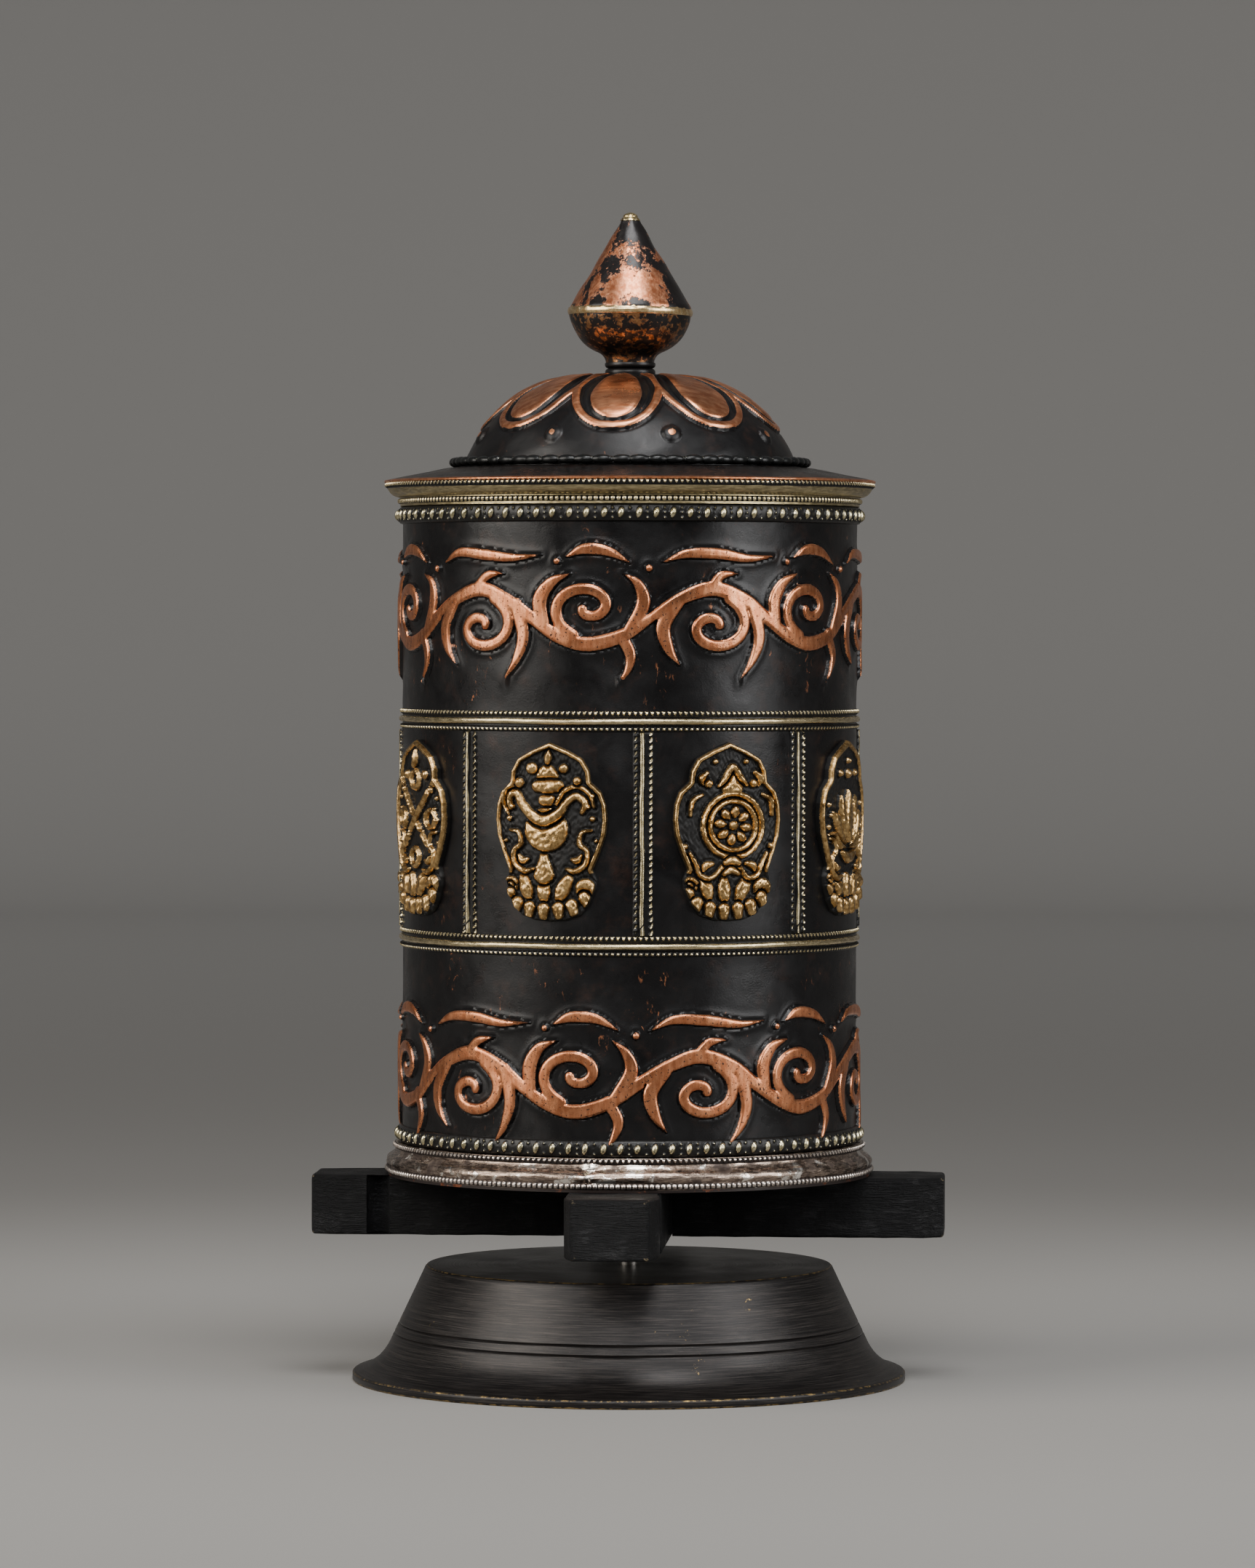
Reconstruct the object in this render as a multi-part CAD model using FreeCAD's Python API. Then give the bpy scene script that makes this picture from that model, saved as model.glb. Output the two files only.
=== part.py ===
import FreeCAD, Part
import math
import os

# Table prayer wheel, in millimetres, +Z up, origin at the centre of the foot's underside.
# A brass bell base carries a fixed steel spindle. The drum turns about it: a half-lapped
# wooden cross below, a copper shell in three stages with beaded brass trim and eight cast
# plaques, and a wound paper roll inside. A domed lid with a finial lifts out of the mouth.
# Angles are counted from -Y, the front, and grow towards +X.

# ---- driving dimensions -------------------------------------------------------------
# Base
foot_radius = 83.0
foot_rim = 2.6
foot_face_width = 8.0
foot_edge_break = 0.4
base_height = 34.3
cone_spread = 10.4
flare_width = 11.7
base_wall = 3.0
flare_height = 12.3
flare_sag = 1.9
groove_heights = [16.9, 14.0]
groove_depth = 0.5

# Spindle, bearings and the nut under the base
spindle_radius = 3.0
shoulder_step = 0.5
thread_below_nut = 3.0
spindle_point_length = 4.0
spindle_point_radius = 0.4
running_clearance = 0.05
pivot_gap = 0.08
nut_across_flats = 10.0
nut_height = 5.0
washer_radius = 8.0
washer_thickness = 1.2

# Wooden cross
bar_length = 189.4
bar_width = 27.4
bar_thickness = 18.0
bar_gap = 9.5
bar_end_chamfer_length = 8.0
bar_end_chamfer_depth = 2.3
bar_edge_round = 0.8
flute_from_tip = 20.3
flute_width = 5.6
flute_depth = 4.6
cross_turn = -3.4
bush_wall = 1.0
bush_flange_width = 0.75
bush_flange_thickness = 1.5
bush_above_cross = 6.0

# Screws from the drum into the cross
screw_from_roll = 9.0
screw_radius = 1.6
screw_depth = 11.0
screw_head_radius = 3.4
screw_head_top_radius = 1.9
screw_head_height = 2.0

# Drum shell
shell_radius = 68.0
shell_wall = 0.9
bottom_plate_thickness = 0.8
plate_step = 0.8
lower_stage_height = 70.4
middle_stage_height = 65.4
upper_stage_height = 70.4

# Foot moulding of the drum, cornice and top plate
moulding_height = 9.0
moulding_overhang = 5.2
cornice_height = 7.1
cornice_overhang = 4.6
rim_overhang = 5.6
rim_height = 0.8
top_rise = 4.4
top_thickness = 0.9
mouth_radius = 46.0
lid_seat_margin = 1.1

land_step = 0.2
land_play = 0.3
bulge_width = 3.9
bulge_height = 5.1
bulge_sag = 0.7
hollow_sag = 0.25
upper_land_width = 2.0
cornice_land_width = 0.8
cornice_land_play = 0.8
cornice_sag = 0.7

# Trim
wire_height = 1.7
wire_proud = 0.85
rib_height = 2.6
rib_proud = 1.3
big_band_height = 5.2
big_band_proud = 2.6
strip_width = 6.0
strip_backing = 0.4
strip_rail_radius = 0.75
strip_rib_radius = 1.0
strip_angles = [-88.0, -43.5, 3.3, 46.3, 90.5, 135.8, 181.3, 227.0]

# Cast plaques
plaque_names = ["knot", "vase", "wheel", "lotus", "shell", "banner", "parasol", "fish"]
plaque_angles = [-64.8, -19.5, 24.7, 67.8, 113.0, 158.5, 204.0, 249.8]
plaque_margin_below = 4.5
plaque_margin_above = 2.9
plaque_half_width = 17.0
plaque_ground = 1.6
plaque_proud = 2.8
plaque_rim_width = 1.5
plaque_boss_radius = 8.5

# Core and roll
core_wall = 1.0
core_drop = 10.0
core_cap_height = 2.0
core_plug_height = 7.0
point_below_plug = 1.0
roll_to_mouth = 3.0
roll_drop = 22.0

# Lid
dome_over_mouth = 4.0
dome_height = 28.4
dome_wall = 1.0
dome_lip = 1.2
dome_shoulder_width = 9.0
dome_shoulder_height = 15.4
dome_side_sag = 0.9
dome_crown_width = 33.8
dome_crown_drop = 1.0
dome_crown_sag = 2.6
lid_ring_height = 2.6
lid_ring_proud = 3.2
lid_ring_lift = 0.5
spigot_clearance = 0.4
spigot_depth = 6.0
spigot_wall = 0.8

# Finial
finial_neck_radius = 7.5
finial_neck_height = 3.4
neck_waist_depth = 0.7
neck_ring_sag = 0.4
finial_bowl_radius = 18.4
finial_bowl_height = 14.6
finial_bowl_sag = 3.1
finial_wall = 1.2
seam_height = 1.1
seam_proud = 0.3
finial_cone_height = 26.6
finial_cone_top_radius = 3.0
finial_cone_shoulder = 2.0
finial_cone_shoulder_step = 0.9
finial_cone_shoulder_sag = 0.15
finial_tip_height = 2.7
finial_tip_band = 1.2
finial_tip_taper = 0.75
stud_radius = 2.0
stud_above_neck = 6.0
stud_below_nut = 2.0
stud_nut_flats = 7.0
stud_nut_height = 3.2
stud_washer_radius = 5.0
stud_washer_thickness = 0.8

# ---- heights and radii that follow from them ----------------------------------------
flare_radius = foot_radius - flare_width
base_top_radius = flare_radius - cone_spread
thread_radius = spindle_radius - shoulder_step
bar_bottom = base_height + bar_gap
bar_top = bar_bottom + bar_thickness
shell_bottom = bar_top + bottom_plate_thickness
middle_bottom = shell_bottom + lower_stage_height
upper_bottom = middle_bottom + middle_stage_height
shell_top = upper_bottom + upper_stage_height
moulding_top = shell_bottom + moulding_height
cornice_bottom = shell_top - cornice_height
cornice_radius = shell_radius + cornice_overhang
moulding_radius = shell_radius + moulding_overhang
rim_radius = shell_radius + rim_overhang
seat_height = shell_top + top_rise
bush_bore = spindle_radius + running_clearance
bush_radius = bush_bore + bush_wall
bush_flange_radius = bush_radius + bush_flange_width
core_radius = bush_radius + core_wall
core_top = shell_top - core_drop
core_plug_bottom = core_top - core_plug_height
point_bottom = core_plug_bottom - point_below_plug
roll_radius = mouth_radius - roll_to_mouth
roll_top = shell_top - roll_drop
screw_circle_radius = roll_radius + screw_from_roll
dome_radius = mouth_radius + dome_over_mouth
dome_shoulder_radius = dome_radius - dome_shoulder_width
dome_crown_radius = dome_radius - dome_crown_width
lid_seat_radius = dome_radius + dome_lip + lid_ring_proud + lid_seat_margin
band_half_height = rib_height / 2 + wire_height
plaque_bottom = middle_bottom + band_half_height + plaque_margin_below
plaque_top = upper_bottom - band_half_height - plaque_margin_above
plaque_height = plaque_top - plaque_bottom
nut_top = base_height - base_wall - washer_thickness
nut_bottom = nut_top - nut_height
dome_top = seat_height + dome_height
neck_top = dome_top + finial_neck_height
bowl_top = neck_top + finial_bowl_height
seam_top = bowl_top + seam_height
cone_top = seam_top + finial_cone_height
tip_top = cone_top + finial_tip_height


# ---- helpers ------------------------------------------------------------------------
def outline(start, *steps):
    """Closed wire in the XZ plane: a step of 2 numbers is a line, of 4 an arc (middle, end)."""
    edges = []
    here = FreeCAD.Vector(start[0], 0, start[1])
    for step in steps + (start,):
        end = FreeCAD.Vector(step[-2], 0, step[-1])
        if len(step) == 4:
            middle = FreeCAD.Vector(step[0], 0, step[1])
            edges.append(Part.Arc(here, middle, end).toShape())
        elif (end - here).Length > 1e-6:
            edges.append(Part.LineSegment(here, end).toShape())
        here = end
    return Part.Wire(edges)


def turned(start, *steps):
    """Solid of revolution about Z from an outline given as radius and height."""
    face = Part.Face(outline(start, *steps))
    return face.revolve(FreeCAD.Vector(0, 0, 0), FreeCAD.Vector(0, 0, 1), 360)


def bulged(start, end, sag):
    """Arc step from start to end whose middle lies sag to the left of the way there."""
    run = (end[0] - start[0], end[1] - start[1])
    length = math.hypot(*run)
    middle_r = (start[0] + end[0]) / 2 - run[1] / length * sag
    middle_z = (start[1] + end[1]) / 2 + run[0] / length * sag
    return (middle_r, middle_z, end[0], end[1])


def domed(start, top):
    """Arc step from start up to the axis that meets the axis squarely."""
    rise = top - start[1]
    ball = (start[0] ** 2 + rise ** 2) / (2 * rise)
    half_turn = math.asin(start[0] / ball) / 2
    return (ball * math.sin(half_turn), top - ball + ball * math.cos(half_turn), 0, top)


def tube(inner, outer, bottom, top):
    """Ring of rectangular section, or a disc when inner is 0."""
    solid = Part.makeCylinder(outer, top - bottom, FreeCAD.Vector(0, 0, bottom))
    if inner > 0:
        solid = solid.cut(Part.makeCylinder(inner, top - bottom, FreeCAD.Vector(0, 0, bottom)))
    return solid


def half_round_ring(seat, middle, height, proud):
    """Trim ring with a flat back on a seat of the given radius and a rounded face."""
    low = (seat, middle - height / 2)
    high = (seat, middle + height / 2)
    return turned(low, (seat + proud, middle, high[0], high[1]))


def facing(shape, angle):
    """The shape modelled at the front, turned to its angle round the drum."""
    copy = shape.copy()
    copy.rotate(FreeCAD.Vector(0, 0, 0), FreeCAD.Vector(0, 0, 1), angle)
    return copy


def hex_prism(across_flats, bottom, top):
    """Hexagonal prism on the axis."""
    corner = across_flats / math.sqrt(3)
    points = []
    for index in range(7):
        turn = math.radians(60 * index)
        points.append(FreeCAD.Vector(corner * math.cos(turn), corner * math.sin(turn), bottom))
    return Part.Face(Part.makePolygon(points)).extrude(FreeCAD.Vector(0, 0, top - bottom))


def save(name, shape):
    """Write one node and say what it holds."""
    shape.exportStep("parts/" + name + ".step")
    print(name, len(shape.Solids), round(shape.Volume, 1), shape.isValid())


# ---- stand --------------------------------------------------------------------------
def make_base():
    """Turned bell: flat top, straight cone, flared foot, hollow from below."""
    top_edge = (base_top_radius, base_height)
    flare_start = (flare_radius, flare_height)
    foot_edge = (foot_radius - foot_edge_break, foot_rim)
    bell = turned(
        (foot_radius - foot_face_width, 0),
        (foot_radius - foot_edge_break, 0),
        (foot_radius, foot_edge_break),
        (foot_radius, foot_rim - foot_edge_break),
        foot_edge,
        bulged(foot_edge, flare_start, flare_sag),
        top_edge,
        (thread_radius, base_height),
        (thread_radius, base_height - base_wall),
        (base_top_radius - base_wall, base_height - base_wall),
        (flare_radius - base_wall, flare_height),
    )
    slope = (flare_radius - base_top_radius) / (base_height - flare_height)
    for height in groove_heights:
        radius = base_top_radius + slope * (base_height - height)
        groove = Part.makeTorus(radius, groove_depth, FreeCAD.Vector(0, 0, height))
        bell = bell.cut(groove)
    return bell


def make_spindle():
    """Rod with a shoulder on the base, a threaded lower end and a blunt point on top."""
    return turned(
        (0, nut_bottom - thread_below_nut),
        (thread_radius, nut_bottom - thread_below_nut),
        (thread_radius, base_height),
        (spindle_radius, base_height),
        (spindle_radius, point_bottom),
        (spindle_point_radius, point_bottom + spindle_point_length),
        (0, point_bottom + spindle_point_length),
    )


nodes = {}
nodes["base"] = make_base()
nodes["spindle"] = make_spindle()
nodes["base_washer"] = tube(thread_radius, washer_radius, nut_top, nut_top + washer_thickness)
nut_bore = Part.makeCylinder(thread_radius, nut_height, FreeCAD.Vector(0, 0, nut_bottom))
nodes["base_nut"] = hex_prism(nut_across_flats, nut_bottom, nut_top).cut(nut_bore)


# ---- wooden cross -------------------------------------------------------------------
def make_screw(radius_from_axis, head_top, grip):
    """Round-head screw seen from its axis at the front, with its head above the plate."""
    seat = head_top - screw_head_height
    head = Part.makeCone(screw_head_radius, screw_head_top_radius, screw_head_height,
                         FreeCAD.Vector(0, -radius_from_axis, seat))
    shank = Part.makeCylinder(screw_radius, grip, FreeCAD.Vector(0, -radius_from_axis, seat - grip))
    return head.fuse(shank).removeSplitter()


def screw_set():
    """One screw over each arm of the cross."""
    head_top = shell_bottom + screw_head_height
    grip = screw_depth + bottom_plate_thickness
    screw = make_screw(screw_circle_radius, head_top, grip)
    return Part.makeCompound([facing(screw, cross_turn + 90 * arm) for arm in range(4)])


def make_bar(arms, lap_above):
    """One bar of the cross: chamfered tips, a flute in each arm, half its depth cut away."""
    half = bar_length / 2
    side = bar_width / 2
    chamfer_x = side - bar_end_chamfer_depth
    chamfer_y = half - bar_end_chamfer_length
    corners = [
        (-chamfer_x, -half), (chamfer_x, -half), (side, -chamfer_y), (side, chamfer_y),
        (chamfer_x, half), (-chamfer_x, half), (-side, chamfer_y), (-side, -chamfer_y),
    ]
    points = [FreeCAD.Vector(x, y, bar_bottom) for x, y in corners]
    bar = Part.Face(Part.makePolygon(points + points[:1])).extrude(
        FreeCAD.Vector(0, 0, bar_thickness))
    bar = bar.makeFillet(bar_edge_round, bar.Edges)
    flute_floor = side - flute_depth + flute_width / 2
    flute = Part.makeCylinder(flute_width / 2, bar_thickness,
                              FreeCAD.Vector(flute_floor, flute_from_tip - half, bar_bottom))
    flute_mouth = Part.makeBox(
        flute_depth, flute_width, bar_thickness,
        FreeCAD.Vector(flute_floor, flute_from_tip - half - flute_width / 2, bar_bottom))
    flute = flute.fuse(flute_mouth)
    bar = bar.cut(flute).cut(facing(flute, 180))
    lap_bottom = bar_bottom + bar_thickness / 2 if lap_above else bar_bottom
    lap = Part.makeBox(bar_width + 2, bar_width, bar_thickness / 2,
                       FreeCAD.Vector(-side - 1, -side, lap_bottom))
    bore = Part.makeCylinder(bush_radius, bar_thickness, FreeCAD.Vector(0, 0, bar_bottom))
    bar = bar.cut(lap).cut(bore)
    return facing(bar, cross_turn + arms)


screws = screw_set()
nodes["cross_bar_fore_aft"] = make_bar(0, True).cut(screws)
nodes["cross_bar_side"] = make_bar(90, False).cut(screws)
nodes["cross_screws"] = screws
flange_bottom = bar_bottom - bush_flange_thickness
nodes["lower_bush"] = turned(
    (bush_bore, flange_bottom), (bush_flange_radius, flange_bottom),
    (bush_flange_radius, bar_bottom), (bush_radius, bar_bottom),
    (bush_radius, bar_top + bush_above_cross), (bush_bore, bar_top + bush_above_cross))

# ---- core, bearing and roll ---------------------------------------------------------
nodes["core_tube"] = tube(bush_radius, core_radius, bar_top, core_top)
seat_slope = (spindle_radius - spindle_point_radius) / spindle_point_length
seat_mouth = spindle_radius - seat_slope * (core_plug_bottom - point_bottom - pivot_gap)
seat_floor = point_bottom + spindle_point_length + pivot_gap
nodes["pivot_cup"] = turned(
    (seat_mouth, core_plug_bottom), (bush_radius, core_plug_bottom), (bush_radius, core_top),
    (core_radius, core_top), (core_radius, core_top + core_cap_height),
    (0, core_top + core_cap_height), (0, seat_floor), (spindle_point_radius, seat_floor))
nodes["paper_roll"] = tube(core_radius, roll_radius, shell_bottom, roll_top)

# ---- drum shell ---------------------------------------------------------------------
bottom_plate = tube(core_radius, moulding_radius - plate_step, bar_top, shell_bottom)
nodes["bottom_plate"] = bottom_plate.cut(screws)
shell_inner = shell_radius - shell_wall
nodes["shell_lower"] = tube(shell_inner, shell_radius, shell_bottom, middle_bottom)
nodes["shell_middle"] = tube(shell_inner, shell_radius, middle_bottom, upper_bottom)
nodes["shell_upper"] = tube(shell_inner, shell_radius, upper_bottom, shell_top)

# Foot moulding: a land for each bead wire, a full round below and a hollow above it.
lower_land = moulding_radius - wire_proud + land_step
lower_land_top = shell_bottom + wire_height + land_play
bulge_end = (shell_radius + bulge_width, shell_bottom + bulge_height)
upper_land = shell_radius + upper_land_width
upper_land_bottom = moulding_top - wire_height - land_play
nodes["foot_moulding"] = turned(
    (shell_radius, shell_bottom), (lower_land, shell_bottom), (lower_land, lower_land_top),
    bulged((lower_land, lower_land_top), bulge_end, -bulge_sag),
    bulged(bulge_end, (upper_land, upper_land_bottom), hollow_sag),
    (upper_land, moulding_top), (shell_radius, moulding_top))

# Cornice: a land for the lower bead wire, a hollow that flares out to the rim.
cornice_land = shell_radius + cornice_land_width
cornice_land_top = cornice_bottom + cornice_land_play + wire_height + land_play
flare_top = (cornice_radius, shell_top - wire_height)
nodes["cornice"] = turned(
    (shell_radius, cornice_bottom), (cornice_land, cornice_bottom),
    (cornice_land, cornice_land_top), bulged((cornice_land, cornice_land_top), flare_top, cornice_sag),
    (cornice_radius, shell_top), (shell_radius, shell_top))

# Top plate: a low cone from the rim up to a flat seat round the mouth.
nodes["top_plate"] = turned(
    (mouth_radius, seat_height - top_thickness),
    (lid_seat_radius - top_thickness, seat_height - top_thickness),
    (shell_inner, shell_top), (rim_radius, shell_top), (rim_radius, shell_top + rim_height),
    (lid_seat_radius, seat_height), (mouth_radius, seat_height))

# ---- trim rings ---------------------------------------------------------------------
band_offset = (rib_height + wire_height) / 2
wire_seats = {
    "wire_moulding_lower": (lower_land, shell_bottom + (wire_height + land_play) / 2),
    "wire_moulding_upper": (upper_land, moulding_top - (wire_height + land_play) / 2),
    "wire_cornice_lower": (cornice_land, cornice_bottom + cornice_land_play + wire_height / 2),
    "wire_cornice_upper": (cornice_radius, shell_top - wire_height / 2),
}
for stage, height in (("lower", middle_bottom), ("upper", upper_bottom)):
    nodes["band_rib_" + stage] = half_round_ring(shell_radius, height, rib_height, rib_proud)
    wire_seats["wire_band_" + stage + "_under"] = (shell_radius, height - band_offset)
    wire_seats["wire_band_" + stage + "_over"] = (shell_radius, height + band_offset)
for name, (seat, height) in wire_seats.items():
    nodes[name] = half_round_ring(seat, height, wire_height, wire_proud)

big_band_places = {
    "bead_band_lower": moulding_top + big_band_height / 2,
    "bead_band_upper": cornice_bottom - big_band_height / 2,
}
for name, height in big_band_places.items():
    nodes[name] = half_round_ring(shell_radius, height, big_band_height, big_band_proud)

# ---- upright strips between the plaques ---------------------------------------------
strip_bottom = middle_bottom + band_half_height
strip_top = upper_bottom - band_half_height
strip_length = strip_top - strip_bottom


def make_strip():
    """Strip at the front: a thin curved backing, a rib and a rail on each side of it."""
    backing = tube(shell_radius, shell_radius + strip_backing, strip_bottom, strip_top)
    slab = Part.makeBox(strip_width, shell_radius * 2, strip_length,
                        FreeCAD.Vector(-strip_width / 2, -shell_radius * 2, strip_bottom))
    strip = backing.common(slab)
    rail_offset = strip_width / 2 - strip_rail_radius
    for offset, radius in ((-rail_offset, strip_rail_radius), (0, strip_rib_radius),
                           (rail_offset, strip_rail_radius)):
        turn = math.degrees(offset / shell_radius)
        rod = Part.makeCylinder(radius, strip_length,
                                FreeCAD.Vector(0, -shell_radius - strip_backing / 2, strip_bottom))
        strip = strip.fuse(facing(rod, turn))
    drum = Part.makeCylinder(shell_radius, strip_length, FreeCAD.Vector(0, 0, strip_bottom))
    return strip.cut(drum).removeSplitter()


strip_shape = make_strip()
for index, angle in enumerate(strip_angles):
    nodes["panel_strip_" + str(index + 1)] = facing(strip_shape, angle)

# ---- cast plaques -------------------------------------------------------------------

def plaque_outline(inset):
    """Pointed leaf outline over a rounded lotus seat, drawn at the front of the drum."""
    wide = (plaque_half_width - inset) / plaque_half_width
    tall = (plaque_height - 2 * inset) / plaque_height
    middle = plaque_bottom + plaque_height / 2

    def spot(across, up):
        height = middle + (up - 0.5) * plaque_height * tall
        return (across * plaque_half_width * wide, height)

    half = [
        (spot(0.54, 0.035), spot(0.81, 0.18)),
        (spot(0.82, 0.24), spot(0.75, 0.29)),
        (spot(0.97, 0.48), spot(0.98, 0.65)),
        (spot(0.90, 0.725), spot(0.72, 0.78)),
        (spot(0.65, 0.88), spot(0.33, 0.955)),
    ]
    steps = []
    for arc_middle, arc_end in half:
        steps.append(arc_middle + arc_end)
    steps.append(spot(0, 1.0))
    steps.append((-half[-1][1][0], half[-1][1][1]))
    ends = [spot(0, 0)] + [arc_end for arc_middle, arc_end in half]
    for index in range(len(half) - 1, -1, -1):
        arc_middle = half[index][0]
        arc_end = ends[index]
        steps.append((-arc_middle[0], arc_middle[1], -arc_end[0], arc_end[1]))
    return outline(spot(0, 0), *steps)


def plaque_layer(inset, inner, outer):
    """The outline carried out to the drum and kept between two radii."""
    block = Part.Face(plaque_outline(inset)).extrude(FreeCAD.Vector(0, -2 * shell_radius, 0))
    return block.common(tube(inner, outer, plaque_bottom - 1, plaque_bottom + plaque_height + 1))


def make_plaque():
    """Plaque at the front: a ground plate, a raised rim and a raised boss in the middle."""
    plaque = plaque_layer(0, shell_radius, shell_radius + plaque_proud)
    recess = plaque_layer(plaque_rim_width, shell_radius + plaque_ground,
                          shell_radius + plaque_proud + 1)
    plaque = plaque.cut(recess)
    boss_height = plaque_bottom + 0.57 * plaque_height
    boss = Part.makeCylinder(plaque_boss_radius, shell_radius * 2,
                             FreeCAD.Vector(0, 0, boss_height), FreeCAD.Vector(0, -1, 0))
    sleeve = tube(shell_radius + plaque_ground / 2, shell_radius + plaque_proud,
                  plaque_bottom, plaque_bottom + plaque_height)
    return plaque.fuse(boss.common(sleeve)).removeSplitter()


plaque_shape = make_plaque()
for name, angle in zip(plaque_names, plaque_angles):
    nodes["plaque_" + name] = facing(plaque_shape, angle)


# ---- lid ----------------------------------------------------------------------------
def dome_outline(inset, bottom):
    """Outline of the solid dome, drawn in by inset from its outer face."""
    shoulder = (dome_shoulder_radius - 0.85 * inset,
                seat_height + dome_shoulder_height - 0.5 * inset)
    crown = (dome_crown_radius, dome_top - dome_crown_drop - inset)
    foot = (dome_radius - inset, bottom)
    return turned((0, bottom), foot, bulged(foot, shoulder, -dome_side_sag),
                  bulged(shoulder, crown, -dome_crown_sag), (finial_neck_radius, dome_top - inset),
                  (0, dome_top - inset))


stud_hole = Part.makeCylinder(stud_radius, dome_height, FreeCAD.Vector(0, 0, seat_height))
lip = tube(dome_radius - dome_wall, dome_radius + dome_lip, seat_height, seat_height + dome_wall)
dome = dome_outline(0, seat_height).cut(dome_outline(dome_wall, seat_height)).fuse(lip)
nodes["lid_dome"] = dome.cut(stud_hole).removeSplitter()
ring_bottom = seat_height + lid_ring_lift
ring_seat = dome_radius + dome_lip
nodes["lid_bead_ring"] = turned(
    (ring_seat, ring_bottom), (ring_seat + lid_ring_proud / 2, ring_bottom),
    (ring_seat + lid_ring_proud, ring_bottom + lid_ring_height / 2,
     ring_seat + lid_ring_proud / 2, ring_bottom + lid_ring_height),
    (ring_seat, ring_bottom + lid_ring_height))
spigot_outer = mouth_radius - spigot_clearance
spigot_inner = spigot_outer - spigot_wall
spigot = turned(
    (spigot_inner, seat_height - spigot_depth), (spigot_outer, seat_height - spigot_depth),
    (spigot_outer, seat_height), (dome_radius - dome_wall, seat_height),
    (dome_radius - dome_wall, seat_height + spigot_wall), (spigot_inner, seat_height + spigot_wall))
nodes["lid_spigot"] = spigot.cut(nodes["lid_dome"])

# ---- finial -------------------------------------------------------------------------
neck_middle = (dome_top + neck_top) / 2
neck_low = (finial_neck_radius, dome_top)
neck_waist = (finial_neck_radius - neck_waist_depth, neck_middle)
neck_high = (finial_neck_radius, neck_top)
neck = turned((0, dome_top), neck_low, bulged(neck_low, neck_waist, -neck_ring_sag),
              bulged(neck_waist, neck_high, -neck_ring_sag), (0, neck_top))
neck_bore = Part.makeCylinder(stud_radius, dome_height + finial_neck_height,
                              FreeCAD.Vector(0, 0, seat_height))
nodes["finial_neck"] = neck.cut(neck_bore)


def bowl_solid(inset):
    """The bowl under the seam, drawn in by inset."""
    foot = (finial_neck_radius - inset, neck_top + inset)
    brim = (finial_bowl_radius - inset, bowl_top)
    return turned((0, neck_top + inset), foot, bulged(foot, brim, -finial_bowl_sag), (0, bowl_top))


def cone_solid(inset):
    """The pointed cap over the seam, drawn in by inset."""
    shoulder = (finial_bowl_radius - finial_cone_shoulder_step - inset,
                seam_top + finial_cone_shoulder)
    brim = (finial_bowl_radius - inset, seam_top)
    tip_radius = finial_cone_top_radius - inset
    return turned((0, seam_top), brim, bulged(brim, shoulder, -finial_cone_shoulder_sag),
                  (tip_radius, cone_top - inset), (0, cone_top - inset))


stud_bottom = dome_top - dome_wall - stud_washer_thickness - stud_nut_height - stud_below_nut
stud_top = neck_top + finial_wall + stud_above_neck
nodes["finial_bowl"] = bowl_solid(0).cut(bowl_solid(finial_wall)).cut(
    Part.makeCylinder(stud_radius, finial_bowl_height, FreeCAD.Vector(0, 0, neck_top)))
seam_bulge = finial_bowl_radius + seam_proud
nodes["finial_seam_ring"] = turned(
    (finial_bowl_radius - finial_wall, bowl_top), (finial_bowl_radius, bowl_top),
    (seam_bulge, (bowl_top + seam_top) / 2, finial_bowl_radius, seam_top),
    (finial_bowl_radius - finial_wall, seam_top))
nodes["finial_cone"] = cone_solid(0).cut(cone_solid(finial_wall))
tip_shoulder = (finial_cone_top_radius - finial_tip_taper, cone_top + finial_tip_band)
nodes["finial_tip"] = turned(
    (0, cone_top), (finial_cone_top_radius, cone_top), tip_shoulder,
    domed(tip_shoulder, tip_top))
nodes["finial_stud"] = tube(0, stud_radius, stud_bottom, stud_top)
stud_washer_top = dome_top - dome_wall
stud_nut_top = stud_washer_top - stud_washer_thickness
nodes["finial_washer"] = tube(stud_radius, stud_washer_radius, stud_nut_top, stud_washer_top)
stud_nut = hex_prism(stud_nut_flats, stud_nut_top - stud_nut_height, stud_nut_top)
nodes["finial_nut"] = stud_nut.cut(nodes["finial_stud"])

# ---- export -------------------------------------------------------------------------
os.makedirs("parts", exist_ok=True)
for name, shape in nodes.items():
    save(name, shape)
print(len(nodes), "nodes, height", round(tip_top, 2))
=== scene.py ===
"""Looks of a table prayer wheel: embossed copper drum, beaded brass, cast plaques, lid and base.

All shapes are worked out in millimetres on numpy grids round the spindle's axis and put into
meshes in metres. Angles are degrees from the front (-Y), growing towards +X.
"""

import logging
import math
from dataclasses import dataclass, field
from enum import Enum

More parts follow.
